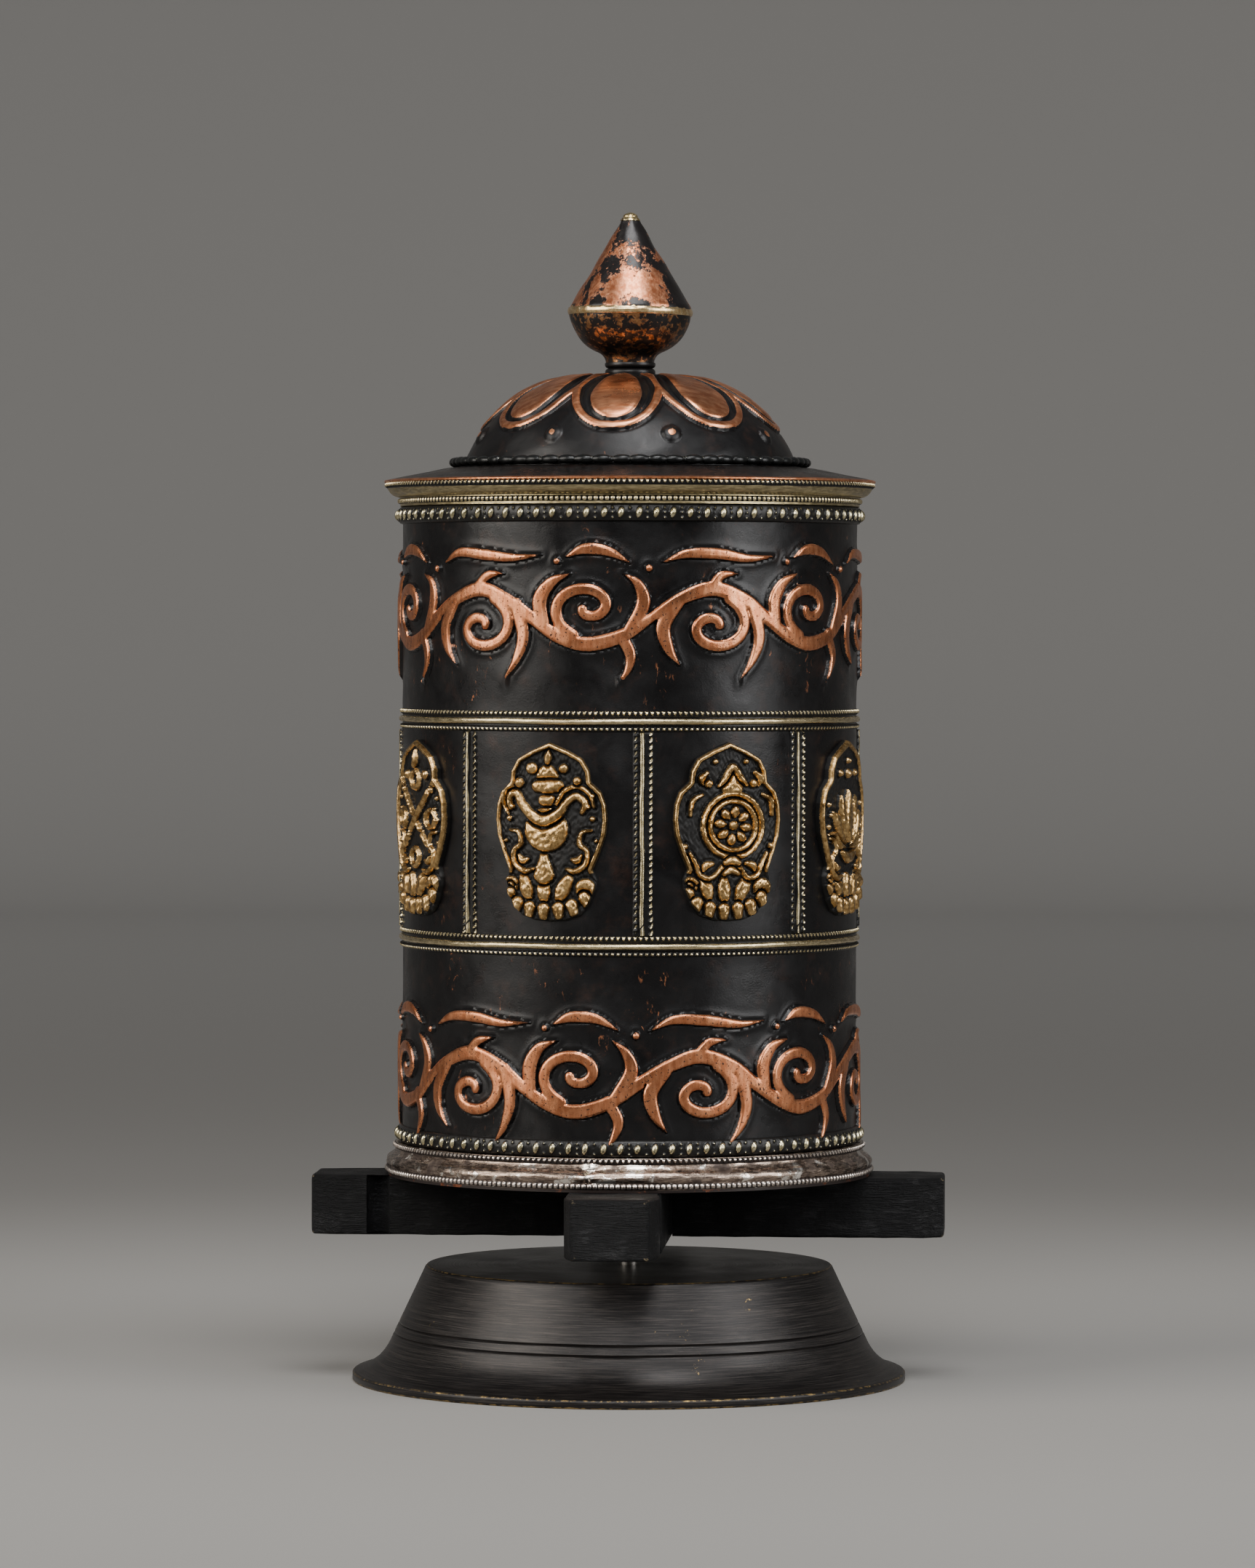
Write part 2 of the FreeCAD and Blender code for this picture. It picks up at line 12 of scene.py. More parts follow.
import bpy
import numpy as np
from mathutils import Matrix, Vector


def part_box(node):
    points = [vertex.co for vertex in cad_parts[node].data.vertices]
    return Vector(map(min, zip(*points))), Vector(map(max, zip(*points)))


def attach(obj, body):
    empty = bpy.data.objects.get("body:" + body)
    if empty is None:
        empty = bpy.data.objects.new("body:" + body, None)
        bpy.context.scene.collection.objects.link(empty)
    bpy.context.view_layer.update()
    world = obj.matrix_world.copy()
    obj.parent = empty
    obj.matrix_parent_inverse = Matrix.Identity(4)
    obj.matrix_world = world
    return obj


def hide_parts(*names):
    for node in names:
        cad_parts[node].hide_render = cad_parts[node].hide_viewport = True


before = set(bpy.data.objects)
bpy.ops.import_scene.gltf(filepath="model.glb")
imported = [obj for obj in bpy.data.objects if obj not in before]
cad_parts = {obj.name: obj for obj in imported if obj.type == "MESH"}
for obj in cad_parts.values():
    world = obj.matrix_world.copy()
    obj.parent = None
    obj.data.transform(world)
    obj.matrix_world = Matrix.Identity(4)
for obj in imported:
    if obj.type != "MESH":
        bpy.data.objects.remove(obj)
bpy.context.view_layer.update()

MM = 0.001
SHARP_ANGLE = 48.0
LOG = logging.getLogger("prayer_wheel")
Triple = tuple[float, float, float]


# ---------------------------------------------------------------------------------- shapes
def low(node: str) -> np.ndarray:
    """Lowest corner of a CAD node in millimetres."""
    return np.array(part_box(node)[0]) / MM


def high(node: str) -> np.ndarray:
    """Highest corner of a CAD node in millimetres."""
    return np.array(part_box(node)[1]) / MM


def smooth(value: np.ndarray, start: float, end: float) -> np.ndarray:
    """Smooth step: 0 before start, 1 after end, 3t^2 - 2t^3 between."""
    t = np.clip((value - start) / (end - start), 0.0, 1.0)
    return t * t * (3.0 - 2.0 * t)


def around(angle: np.ndarray, radius: np.ndarray, height: np.ndarray) -> np.ndarray:
    """Points at an angle in degrees, a radius and a height: x = r sin a, y = -r cos a.

    Args:
        angle: Degrees from the front.
        radius: Millimetres from the axis.
        height: Millimetres above the foot.

    Returns:
        Array of points with the shape of the inputs and three columns.
    """
    turn = np.radians(angle)
    x, y, z = np.broadcast_arrays(radius * np.sin(turn), -radius * np.cos(turn), height)
    return np.stack([x, y, z], axis=-1)


def ripple(angle: np.ndarray, height: np.ndarray, seed: int, reach: float,
           turns: int = 9, pitch: float = 22.0, waves: int = 14) -> np.ndarray:
    """Uneven hand-beaten surface: a sum of sines with whole numbers of turns round the axis.

    Args:
        angle: Degrees from the front.
        height: Millimetres above the foot.
        seed: Start of the random phases.
        reach: Height of the unevenness in millimetres.
        turns: Largest number of waves round the axis.
        pitch: Shortest wave along the height in millimetres.
        waves: How many sines are added.

    Returns:
        Offsets in millimetres.
    """
    rng = np.random.default_rng(seed)
    total = np.zeros(np.broadcast(angle, height).shape)
    for _ in range(waves):
        count = rng.integers(0, turns + 1)
        slope = rng.uniform(-1.0, 1.0) * 2.0 * math.pi / pitch
        phase = rng.uniform(0, 2 * math.pi)
        total = total + np.sin(np.radians(angle) * count + height * slope + phase)
    return total * reach / math.sqrt(waves)


def arc_line(*points: tuple[float, ...], step: float = 0.6) -> np.ndarray:
    """Profile of straight runs and arcs, sampled evenly.

    Args:
        points: The first point, then steps of 2 numbers (a straight run) or 3 (a run whose
            middle bulges to the right of the way there by the third number).
        step: Distance between samples in millimetres.

    Returns:
        Array of (radius, height) rows. A bulge is a parabola across the run.
    """
    rows = [np.array([points[0][:2]], float)]
    for start, end in zip(points, points[1:]):
        here, there = np.array(start[:2], float), np.array(end[:2], float)
        run = there - here
        length = float(np.hypot(*run))
        count = max(1, int(math.ceil(length / step)))
        t = np.arange(1, count + 1)[:, None] / count
        side = np.array([run[1], -run[0]]) / max(length, 1e-9)
        bulge = end[2] if len(end) > 2 else 0.0
        rows.append(here + run * t + side * bulge * 4.0 * t * (1.0 - t))
    return np.concatenate(rows)


@dataclass
class Surface:
    """A grid of points in millimetres over two parameters, with the relief value of each.

    The grid closes on itself along the flagged directions. A first or last column whose
    points all coincide is a pole and is closed with triangles.
    """

    points: np.ndarray
    closed_u: bool = True
    closed_v: bool = True
    relief: np.ndarray | None = None

    def index(self) -> np.ndarray:
        """Vertex number at each grid place, with a pole's places sharing one number."""
        nu, nv = self.points.shape[:2]
        index = np.arange(nu * nv).reshape(nu, nv)
        for column in (0, nv - 1):
            spread = np.ptp(self.points[:, column], axis=0).max()
            if spread < 1e-6:
                index[:, column] = index[0, column]
        return index

    def polygons(self) -> tuple[np.ndarray, np.ndarray]:
        """Quads and triangles over the grid, wound so that the closed surface faces out."""
        index = self.index()
        across = np.roll(index, -1, axis=0)
        corners = [index, across, np.roll(across, -1, axis=1), np.roll(index, -1, axis=1)]
        rows = slice(None) if self.closed_u else slice(0, -1)
        columns = slice(None) if self.closed_v else slice(0, -1)
        quads = np.stack([corner[rows, columns] for corner in corners], axis=-1).reshape(-1, 4)
        flat = self.points.reshape(-1, 3)
        a, b, c, d = (flat[quads[:, k]] for k in range(4))
        volume = np.einsum("ij,ij->i", a, np.cross(b, c) + np.cross(c, d)).sum()
        if volume < 0:
            quads = quads[:, ::-1]
        start_pole = quads[:, 0] == quads[:, 1]
        end_pole = quads[:, 2] == quads[:, 3]
        side_pole = (quads[:, 1] == quads[:, 2]) | (quads[:, 3] == quads[:, 0])
        plain = ~(start_pole | end_pole | side_pole)
        triangles = [quads[start_pole][:, [0, 2, 3]], quads[end_pole][:, [0, 1, 2]],
                     quads[side_pole & ~start_pole & ~end_pole][:, [0, 1, 3]]]
        return quads[plain], np.concatenate(triangles)


def solid_of_revolution(profile: np.ndarray, columns: int, closed: bool = True) -> Surface:
    """A profile of (radius, height) rows carried once round the axis.

    Args:
        profile: Rows of radius and height; closed profiles come back to their first row.
        columns: Grid columns round the axis.
        closed: Whether the profile closes on itself; if not, its ends lie on the axis.

    Returns:
        The surface, with relief 0.5 all over.
    """
    angle = np.arange(columns)[:, None] * 360.0 / columns
    points = around(angle, profile[None, :, 0], profile[None, :, 1])
    return Surface(points, True, closed, np.full(points.shape[:2], 0.5))


@dataclass
class Piece:
    """A named piece of the object: its surfaces, finish, body and the CAD nodes it stands for."""

    name: str
    surfaces: list[Surface]
    finish: "Finish"
    body: str
    slot: str
    replaces: tuple[str, ...] = ()

    def build(self) -> bpy.types.Object:
        """Make the mesh in metres at the origin, dress it and hang it on its body.

        Returns:
            The finished object.
        """
        points, relief, quads, triangles, count = [], [], [], [], 0
        for surface in self.surfaces:
            four, three = surface.polygons()
            points.append(surface.points.reshape(-1, 3))
            relief.append(surface.relief.ravel())
            quads.append(four + count)
            triangles.append(three + count)
            count += points[-1].shape[0]
        place, value = np.concatenate(points) * MM, np.concatenate(relief)
        four, three = np.concatenate(quads), np.concatenate(triangles)
        corners = np.concatenate([four.ravel(), three.ravel()])
        used, renumber = np.unique(corners, return_inverse=True)
        mesh = bpy.data.meshes.new(self.name)
        mesh.vertices.add(len(used))
        mesh.vertices.foreach_set("co", place[used].astype(np.float32).ravel())
        mesh.loops.add(len(renumber))
        mesh.loops.foreach_set("vertex_index", renumber.astype(np.int32).ravel())
        mesh.polygons.add(len(four) + len(three))
        starts = np.concatenate([np.arange(len(four)) * 4,
                                 len(four) * 4 + np.arange(len(three)) * 3])
        mesh.polygons.foreach_set("loop_start", starts.astype(np.int32))
        mesh.update(calc_edges=True)
        mesh.validate()
        mesh.shade_smooth()
        mesh.set_sharp_from_angle(angle=math.radians(SHARP_ANGLE))
        layer = mesh.attributes.new("relief", "FLOAT", "POINT")
        layer.data.foreach_set("value", value[used].astype(np.float32))
        mesh.materials.append(self.finish.material())
        made = bpy.data.objects.new(self.name, mesh)
        bpy.context.scene.collection.objects.link(made)
        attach(made, self.body)
        if self.replaces:
            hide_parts(*self.replaces)
        LOG.info("%s: %d faces", self.name, len(mesh.polygons))
        return made


# --------------------------------------------------------------------------------- shading
def paint(word: str) -> tuple[float, float, float, float]:
    """Linear colour of a six-figure sRGB word."""
    parts = [int(word[k:k + 2], 16) / 255.0 for k in (0, 2, 4)]
    linear = [c / 12.92 if c <= 0.04045 else ((c + 0.055) / 1.055) ** 2.4 for c in parts]
    return (*linear, 1.0)


class Value:
    """A number in a shader, with operators that add Math nodes."""

    def __init__(self, shader: "Shader", socket: bpy.types.NodeSocket) -> None:
        """Wrap a socket of a shader's tree."""
        self.shader = shader
        self.socket = socket

    def math(self, operation: str, *others: "Value | float") -> "Value":
        """One Math node on this value and the others."""
        return self.shader.value("ShaderNodeMath", {"operation": operation}, [self, *others])

    def __add__(self, other: "Value | float") -> "Value":
        """Sum."""
        return self.math("ADD", other)

    def __sub__(self, other: "Value | float") -> "Value":
        """Difference."""
        return self.math("SUBTRACT", other)

    def __rsub__(self, other: float) -> "Value":
        """Difference from a number."""
        return self.shader.value("ShaderNodeMath", {"operation": "SUBTRACT"}, [other, self])

    def __mul__(self, other: "Value | float") -> "Value":
        """Product."""
        return self.math("MULTIPLY", other)

    def __truediv__(self, other: "Value | float") -> "Value":
        """Quotient."""
        return self.math("DIVIDE", other)

    def __pow__(self, other: float) -> "Value":
        """Power."""
        return self.math("POWER", other)

    __radd__ = __add__
    __rmul__ = __mul__

    def step(self, start: float, end: float) -> "Value":
        """Smooth step between two levels."""
        settings = {"interpolation_type": "SMOOTHSTEP"}
        return self.shader.value("ShaderNodeMapRange", settings, [self, start, end, 0.0, 1.0])

    def largest(self, other: "Value | float") -> "Value":
        """The larger of two."""
        return self.math("MAXIMUM", other)


class Shader:
    """One material's node tree, built from plain calls."""

    def __init__(self, name: str) -> None:
        """Start a material with an empty Principled surface."""
        self.material = bpy.data.materials.new("finish_" + name)
        self.material.use_nodes = True
        self.tree = self.material.node_tree
        self.surface = self.tree.nodes["Principled BSDF"]
        self.coords = self.node("ShaderNodeTexCoord").outputs["Object"]

    def node(self, kind: str, settings: dict | None = None, inputs: list | dict | None = None
             ) -> bpy.types.Node:
        """Add a node.

        Args:
            kind: Node type.
            settings: Its own properties, set before its sockets.
            inputs: Values or links for its sockets, by order or by name or number.

        Returns:
            The node.
        """
        made = self.tree.nodes.new(kind)
        for key, setting in (settings or {}).items():
            setattr(made, key, setting)
        given = inputs.items() if isinstance(inputs, dict) else enumerate(inputs or [])
        for key, item in given:
            self.feed(made.inputs[key], item)
        return made

    def feed(self, socket: bpy.types.NodeSocket, item: object) -> None:
        """Link a value or socket to a socket, or set its number."""
        if isinstance(item, Value):
            item = item.socket
        if isinstance(item, bpy.types.NodeSocket):
            self.tree.links.new(item, socket)
        else:
            socket.default_value = item

    def value(self, kind: str, settings: dict | None = None, inputs: list | dict | None = None
              ) -> Value:
        """Add a node and wrap its first output that is in use."""
        made = self.node(kind, settings, inputs)
        return Value(self, next(out for out in made.outputs if out.enabled))

    def attribute(self, name: str) -> Value:
        """A number stored on the mesh."""
        made = self.node("ShaderNodeAttribute", {"attribute_name": name})
        return Value(self, made.outputs["Fac"])

    def stretched(self, scale: Triple, turn: Triple = (0, 0, 0)) -> bpy.types.NodeSocket:
        """Object coordinates in millimetres, scaled and turned."""
        inputs = {"Vector": self.coords, "Scale": tuple(k / MM for k in scale), "Rotation": turn}
        return self.node("ShaderNodeMapping", None, inputs).outputs[0]

    def noise(self, size: float, detail: float = 3.0, rough: float = 0.55, distortion: float = 0.0,
              vector: bpy.types.NodeSocket | None = None) -> Value:
        """Noise with features of about a size in millimetres."""
        inputs = {"Vector": vector or self.stretched((1, 1, 1)), "Scale": 1.0 / size,
                  "Detail": detail, "Roughness": rough, "Distortion": distortion}
        return self.value("ShaderNodeTexNoise", None, inputs)

    def round_the_axis(self, along: float = 0.02) -> bpy.types.NodeSocket:
        """Coordinates (a little of x, radius, height) in millimetres, for lines round the axis."""
        parts = self.node("ShaderNodeSeparateXYZ", None, [self.coords])
        x, y, z = (Value(self, out) for out in parts.outputs)
        radius = (x * x + y * y).math("SQRT")
        inputs = [x * (along / MM), radius / MM, z / MM]
        return self.node("ShaderNodeCombineXYZ", None, inputs).outputs[0]

    def blend(self, factor: Value | float, start: object, end: object) -> bpy.types.NodeSocket:
        """Mix two colours."""
        settings = {"data_type": "RGBA", "clamp_factor": True}
        made = self.node("ShaderNodeMix", settings, {0: factor, 6: start, 7: end})
        return made.outputs[2]

    def bump(self, height: Value, reach: float, strength: float = 1.0,
             under: bpy.types.NodeSocket | None = None) -> bpy.types.NodeSocket:
        """Bump of a height field whose full range is reach millimetres."""
        inputs = {"Height": height, "Distance": reach * MM, "Strength": strength}
        if under is not None:
            inputs["Normal"] = under
        return self.node("ShaderNodeBump", None, inputs).outputs[0]

    def dress(self, **sockets: object) -> bpy.types.Material:
        """Feed the surface's sockets, named with underscores for spaces, and finish."""
        for name, item in sockets.items():
            self.feed(self.surface.inputs[name.replace("_", " ")], item)
        return self.material


class Finish:
    """A finish: it makes its material once and hands it out again."""

    name: str

    def material(self) -> bpy.types.Material:
        """The finish's material, made at first use."""
        return bpy.data.materials.get("finish_" + self.name) or self.paint()

    def paint(self) -> bpy.types.Material:
        """Build the material."""
        raise NotImplementedError


@dataclass(frozen=True)
class RubbedRelief(Finish):
    """Dark patina in the hollows, bright metal where the relief stands high and is rubbed."""

    name: str
    bright: str
    deep: str
    patina: str = "0b0a0b"
    patina_rub: str = "2a1b15"
    edge: float = 0.5
    softness: float = 0.07
    ragged: float = 0.22
    ragged_size: float = 0.55
    specks: float = 0.62
    rubs: float = 0.0
    bright_rough: float = 0.33
    patina_rough: float = 0.31
    patina_metal: float = 0.3
    grain: float = 0.03
    grain_size: float = 0.5
    brush: Triple = (1.0, 1.0, 1.0)

    def paint(self) -> bpy.types.Material:
        """Mix bright and dark by the relief value with a ragged, specked border.

        Returns:
            The material.
        """
        s = Shader(self.name)
        relief = s.attribute("relief")
        ragged = s.noise(self.ragged_size, 5.0, 0.65)
        broad = s.noise(9.0, 4.0, 0.6)
        level = relief + (ragged - 0.5) * self.ragged * 2.0 + (broad - 0.5) * self.ragged
        worn = level.step(self.edge - self.softness, self.edge + self.softness)
        specks = s.noise(0.75, 2.0, 0.5).step(self.specks, self.specks + 0.05)
        worn = worn * (1.0 - specks * 0.92)
        if self.rubs:
            streaks = s.noise(1.7, 6.0, 0.75, 0.8, s.stretched((1.0, 1.0, 0.4)))
            spots = s.noise(13.0, 3.0, 0.5).step(0.56, 0.66)
            worn = worn.largest(streaks.step(0.6, 0.68) * spots * self.rubs)
        brushed = s.noise(1.4, 4.0, 0.6, 0.0, s.stretched(self.brush))
        metal = s.blend(brushed.step(0.3, 0.75), paint(self.deep), paint(self.bright))
        stained = s.noise(7.0, 6.0, 0.65).step(0.5, 0.85)
        dark = s.blend(stained, paint(self.patina), paint(self.patina_rub))
        dust = s.noise(0.5, 3.0, 0.7).step(0.68, 0.9) * 0.25
        dark = s.blend(dust, dark, paint("5a544d"))
        smears = s.noise(12.0, 6.0, 0.6, 0.4)
        polish = worn * (self.bright_rough - self.patina_rough)
        rough = self.patina_rough + (smears - 0.5) * 0.5 + polish
        metallic = self.patina_metal + worn * (0.98 - self.patina_metal)
        height = s.noise(self.grain_size, 4.0, 0.6) + brushed * 0.5 + ragged * 0.4
        fine = s.bump(height, self.grain)
        dents = s.bump(s.noise(9.0, 2.0, 0.5), 0.3, 0.5, fine)
        return s.dress(Base_Color=s.blend(worn, dark, metal), Metallic=metallic, Roughness=rough,
                       Normal=dents, Specular_IOR_Level=0.4)


@dataclass(frozen=True)
class PatchyMetal(Finish):
    """Metal whose dark coat has flaked in ragged patches, streaked along one direction."""

    name: str
    bright: str
    deep: str
    coat: str
    patch: float
    patch_size: float = 7.0
    streak: Triple = (1.0, 1.0, 1.0)
    turn: Triple = (0.0, 0.0, 0.0)
    rough: float = 0.3
    coat_rough: float = 0.36
    bump: float = 0.05

    def paint(self) -> bpy.types.Material:
        """Mix coat and metal by large noise broken up by fine noise.

        Returns:
            The material.
        """
        s = Shader(self.name)
        along = s.stretched(self.streak, self.turn)
        large = s.noise(self.patch_size, 5.0, 0.62, 0.3, along)
        fine = s.noise(0.8, 5.0, 0.7)
        level = large + (fine - 0.5) * 0.28
        bare = level.step(self.patch - 0.02, self.patch + 0.03)
        brushed = s.noise(1.2, 4.0, 0.65, 0.0, along)
        metal = s.blend(brushed.step(0.35, 0.7), paint(self.deep), paint(self.bright))
        colour = s.blend(bare, paint(self.coat), metal)
        rough = self.coat_rough + bare * (self.rough - self.coat_rough) + (fine - 0.5) * 0.2
        ridge = s.bump(bare * 0.5 + fine * 0.35 + brushed * 0.3, self.bump)
        dents = s.bump(s.noise(4.0, 2.0, 0.5), 0.25, 0.5, ridge)
        return s.dress(Base_Color=colour, Metallic=0.3 + bare * 0.68, Roughness=rough, Normal=dents)


@dataclass(frozen=True)
class TurnedBlack(Finish):
    """Blackened turned brass: fine lathe lines, soft smears, brass showing on sharp edges."""

    name: str
    black: str = "151313"
    grey: str = "4a4440"
    brass: str = "c4a468"

    def paint(self) -> bpy.types.Material:
        """Lines are noise over radius and height only, so they run round the axis.

        Returns:
            The material.
        """
        s = Shader(self.name)
        polar = s.round_the_axis()
        lines = s.noise(0.28, 6.0, 0.75, 0.0, polar)
        wide = s.noise(2.6, 4.0, 0.6, 0.0, polar)
        smears = s.noise(18.0, 5.0, 0.6)
        specks = s.noise(0.55, 2.0, 0.5).step(0.7, 0.8) * 0.35
        colour = s.blend(lines.step(0.42, 0.75) * 0.7, paint(self.black), paint(self.grey))
        colour = s.blend(specks * smears, colour, paint("6f6455"))
        edge = (s.attribute("relief") + (s.noise(2.5, 5.0, 0.7) - 0.5) * 1.1).step(0.74, 0.98) * 0.6
        nicks = (s.noise(1.1, 6.0, 0.75, 0.8) * s.noise(12.0, 2.0, 0.5)).step(0.435, 0.46)
        edge = edge.largest(nicks * 0.6)
        colour = s.blend(edge, colour, paint(self.brass))
        rough = 0.36 + (lines - 0.5) * 0.4 + (smears - 0.5) * 0.25
        shape = s.bump(lines + wide * 0.25, 0.04)
        return s.dress(Base_Color=colour, Metallic=0.55 + edge * 0.4, Roughness=rough, Normal=shape,
                       Anisotropic=0.35)


@dataclass(frozen=True)
class BrushedBand(Finish):
    """Pale worn metal with brush marks across it, stained along its edges."""

    name: str
    pale: str
    shade: str
    stain: str
    turn: Triple = (0.0, 0.6, 0.0)
    bright_spots: float = 0.0
    rough: float = 0.36
    stain_level: float = 0.56

    def paint(self) -> bpy.types.Material:
        """Streaked noise for the brush marks, broad noise for stains, spots of bright tin.

        Returns:
            The material.
        """
        s = Shader(self.name)
        streaks = s.noise(0.8, 6.0, 0.7, 0.2, s.stretched((0.25, 0.25, 1.6), self.turn))
        broad = s.noise(8.0, 5.0, 0.65, 0.4)
        colour = s.blend(streaks.step(0.35, 0.7), paint(self.shade), paint(self.pale))
        relief = s.attribute("relief")
        soil = (broad + (streaks - 0.5) * 0.3 + (0.5 - relief) * 0.5)
        stained = soil.step(self.stain_level, self.stain_level + 0.16)
        colour = s.blend(stained * 0.85, colour, paint(self.stain))
        rough = self.rough + (streaks - 0.5) * 0.25 + stained * 0.1
        if self.bright_spots:
            tin = s.noise(3.4, 6.0, 0.7, 0.8) + (broad - 0.5) * 0.6 + (relief - 0.5) * 0.5
            tin = tin.step(0.6, 0.66)
            colour = s.blend(tin * self.bright_spots, colour, paint("e6dfd6"))
            rough = rough - tin * 0.14
        marks = s.bump(streaks + s.noise(1.6, 4.0, 0.6) * 0.6, 0.06)
        dents = s.bump(s.noise(5.0, 3.0, 0.55), 0.4, 0.6, marks)
        return s.dress(Base_Color=colour, Metallic=1.0 - stained * 0.45, Roughness=rough, Normal=dents)


@dataclass(frozen=True)
class PaintedWood(Finish):
    """Black paint over open-grained wood, with glossy rubbed grain painted lighter as a painted sheen, and
    a few chips.
    """

    name: str
    black: str = "050506"
    grey: str = "0f0f10"
    bare: str = "a08f70"
    grain_axis: float = 0.0

    def paint(self) -> bpy.types.Material:
        """Grain is noise drawn out along the bar; rubs are glossier streaks of it, also painted lighter
        grey as a painted sheen.

        Returns:
            The material.
        """
        s = Shader(self.name)
        turn = (0.0, 0.0, self.grain_axis)
        grain = s.noise(0.9, 6.0, 0.7, 0.3, s.stretched((0.07, 1.0, 1.0), turn))
        fine = s.noise(0.35, 4.0, 0.7, 0.0, s.stretched((0.1, 1.0, 1.0), turn))
        broad = s.noise(14.0, 4.0, 0.6)
        patches = s.noise(11.0, 3.0, 0.5).step(0.45, 0.6)
        rubbed = (grain * 0.5 + fine * 0.5).step(0.5, 0.57) * patches
        colour = s.blend(broad.step(0.3, 0.8), paint(self.black), paint(self.grey))
        # Painted sheen: the rubbed streaks are painted a lighter grey to stand in for their gloss catching
        # the light; their lower roughness below is the real gloss.
        colour = s.blend(rubbed * 0.5, colour, paint("333334"))
        chip = (s.attribute("relief") + (s.noise(0.9, 4.0, 0.7) - 0.5) * 0.5).step(0.74, 0.84)
        colour = s.blend(chip, colour, paint(self.bare))
        rough = 0.5 + (grain - 0.5) * 0.5 - rubbed * 0.3 + chip * 0.2
        pores = s.bump(grain + fine * 0.8, 0.7)
        lumps = s.bump(broad + s.noise(3.0, 3.0, 0.6) * 0.6, 1.2, 0.7, pores)
        return s.dress(Base_Color=colour, Roughness=rough, Normal=lumps, Specular_IOR_Level=0.17)


@dataclass(frozen=True)
class PlainMetal(Finish):
    """Turned or drawn metal with fine lines along one axis."""

    name: str
    colour: str
    shade: str
    lines: Triple = (1.0, 1.0, 0.1)
    rough: float = 0.35
    metal: float = 1.0

    def paint(self) -> bpy.types.Material:
        """Two tones mixed by drawn-out noise, dulled by broad smears.

        Returns:
            The material.
        """
        s = Shader(self.name)
        lines = s.noise(0.6, 5.0, 0.7, 0.0, s.stretched(self.lines))
        smears = s.noise(6.0, 4.0, 0.6)
        colour = s.blend(lines * 0.6 + smears * 0.4, paint(self.shade), paint(self.colour))
        rough = self.rough + (smears - 0.5) * 0.3
        return s.dress(Base_Color=colour, Metallic=self.metal, Roughness=rough,
                       Normal=s.bump(lines, 0.04))


@dataclass(frozen=True)
class WoundPaper(Finish):
    """Edges of tightly wound paper: thin rings round the axis, yellowed unevenly."""

    name: str = "wound_paper"

    def paint(self) -> bpy.types.Material:
        """Rings are noise over the radius only.

        Returns:
            The material.
        """
        s = Shader(self.name)
        rings = s.noise(0.3, 4.0, 0.7, 0.0, s.round_the_axis(0.01))
        age = s.noise(20.0, 5.0, 0.6)
        colour = s.blend(rings.step(0.35, 0.7), paint("6d5636"), paint("cdb686"))
        colour = s.blend(age.step(0.45, 0.8) * 0.5, colour, paint("8f7142"))
        return s.dress(Base_Color=colour, Roughness=0.85 + (rings - 0.5) * 0.1,
                       Normal=s.bump(rings, 0.15))


COPPER_RELIEF = RubbedRelief("copper_relief", "dc966c", "b06c48", ragged=0.26, rubs=0.85,
                             bright_rough=0.3, brush=(1.0, 1.0, 0.3))
PATINA = RubbedRelief("patina_sheet", "c98a62", "87503a", edge=1.3, rubs=0.8)
DOME_COPPER = RubbedRelief("dome_copper", "eda97e", "bd744e", edge=0.5, softness=0.05, ragged=0.12,
                           ragged_size=1.0, specks=0.8, rubs=0.6, bright_rough=0.3, grain=0.02,
                           brush=(0.15, 1.0, 1.0), patina_rough=0.36)
BEAD_BRASS = RubbedRelief("bead_brass", "e9dab4", "ab9c74", patina="0c0b0a", patina_rub="1f1914",
                          edge=0.58, softness=0.1, ragged=0.12, ragged_size=0.4, specks=0.85,
                          bright_rough=0.28, patina_rough=0.38)
CAST_BRASS = RubbedRelief("cast_brass", "d8b47c", "8a6a3e", patina="0f0e0d", patina_rub="1f1a15",
                          edge=0.34, softness=0.06, ragged=0.34, ragged_size=0.45, specks=0.72,
                          bright_rough=0.27, grain=0.05, grain_size=0.6, patina_rough=0.5)
TINNED_BEAD = RubbedRelief("tinned_bead", "e6ded6", "a39489", patina="251f1d", patina_rub="3a2b24",
                           edge=0.5, softness=0.12, ragged=0.2, specks=0.8, bright_rough=0.27)
RING_BLACK = RubbedRelief("blackened_ring", "cfcfbf", "84836f", patina="101111", patina_rub="1c1d1c",
                          edge=0.72, softness=0.08, ragged=0.2, specks=0.9, patina_rough=0.3)
LARGE_BEAD = RubbedRelief("large_bead", "ddd4b2", "a09672", patina="131211", patina_rub="262321",
                          edge=0.5, softness=0.1, ragged=0.1, ragged_size=0.4, specks=0.9,
                          bright_rough=0.26, patina_rough=0.34)
RIB_BRASS = BrushedBand("rib_brass", "e0cfa8", "a89974", "5a4d3c", (0.0, 0.3, 0.0), rough=0.27,
                        stain_level=0.72)
INNER_COPPER = PatchyMetal("inner_copper", "8f5a41", "5c3727", "231a17", 0.6, 9.0, rough=0.45)
WOOD_FORE = PaintedWood("painted_wood_fore", grain_axis=math.pi / 2)
WOOD_SIDE = PaintedWood("painted_wood_side")
TURNED_BLACK = TurnedBlack("turned_black")
PALE_CORNICE = BrushedBand("pale_cornice", "c6b68e", "8a7e5e", "3a2c28", rough=0.34, stain_level=0.6)
TINNED_COPPER = BrushedBand("tinned_copper", "b9a696", "5f5048", "2b211e", (0.3, 1.45, 0.0), 0.9, 0.26,
                            0.56)
RIM_COPPER = RubbedRelief("rim_copper", "dd9c74", "a4623f", patina="14100f", patina_rub="3a241b",
                          edge=0.5, softness=0.1, ragged=0.16, ragged_size=2.0, specks=0.92, rubs=0.5,
                          patina_rough=0.3)
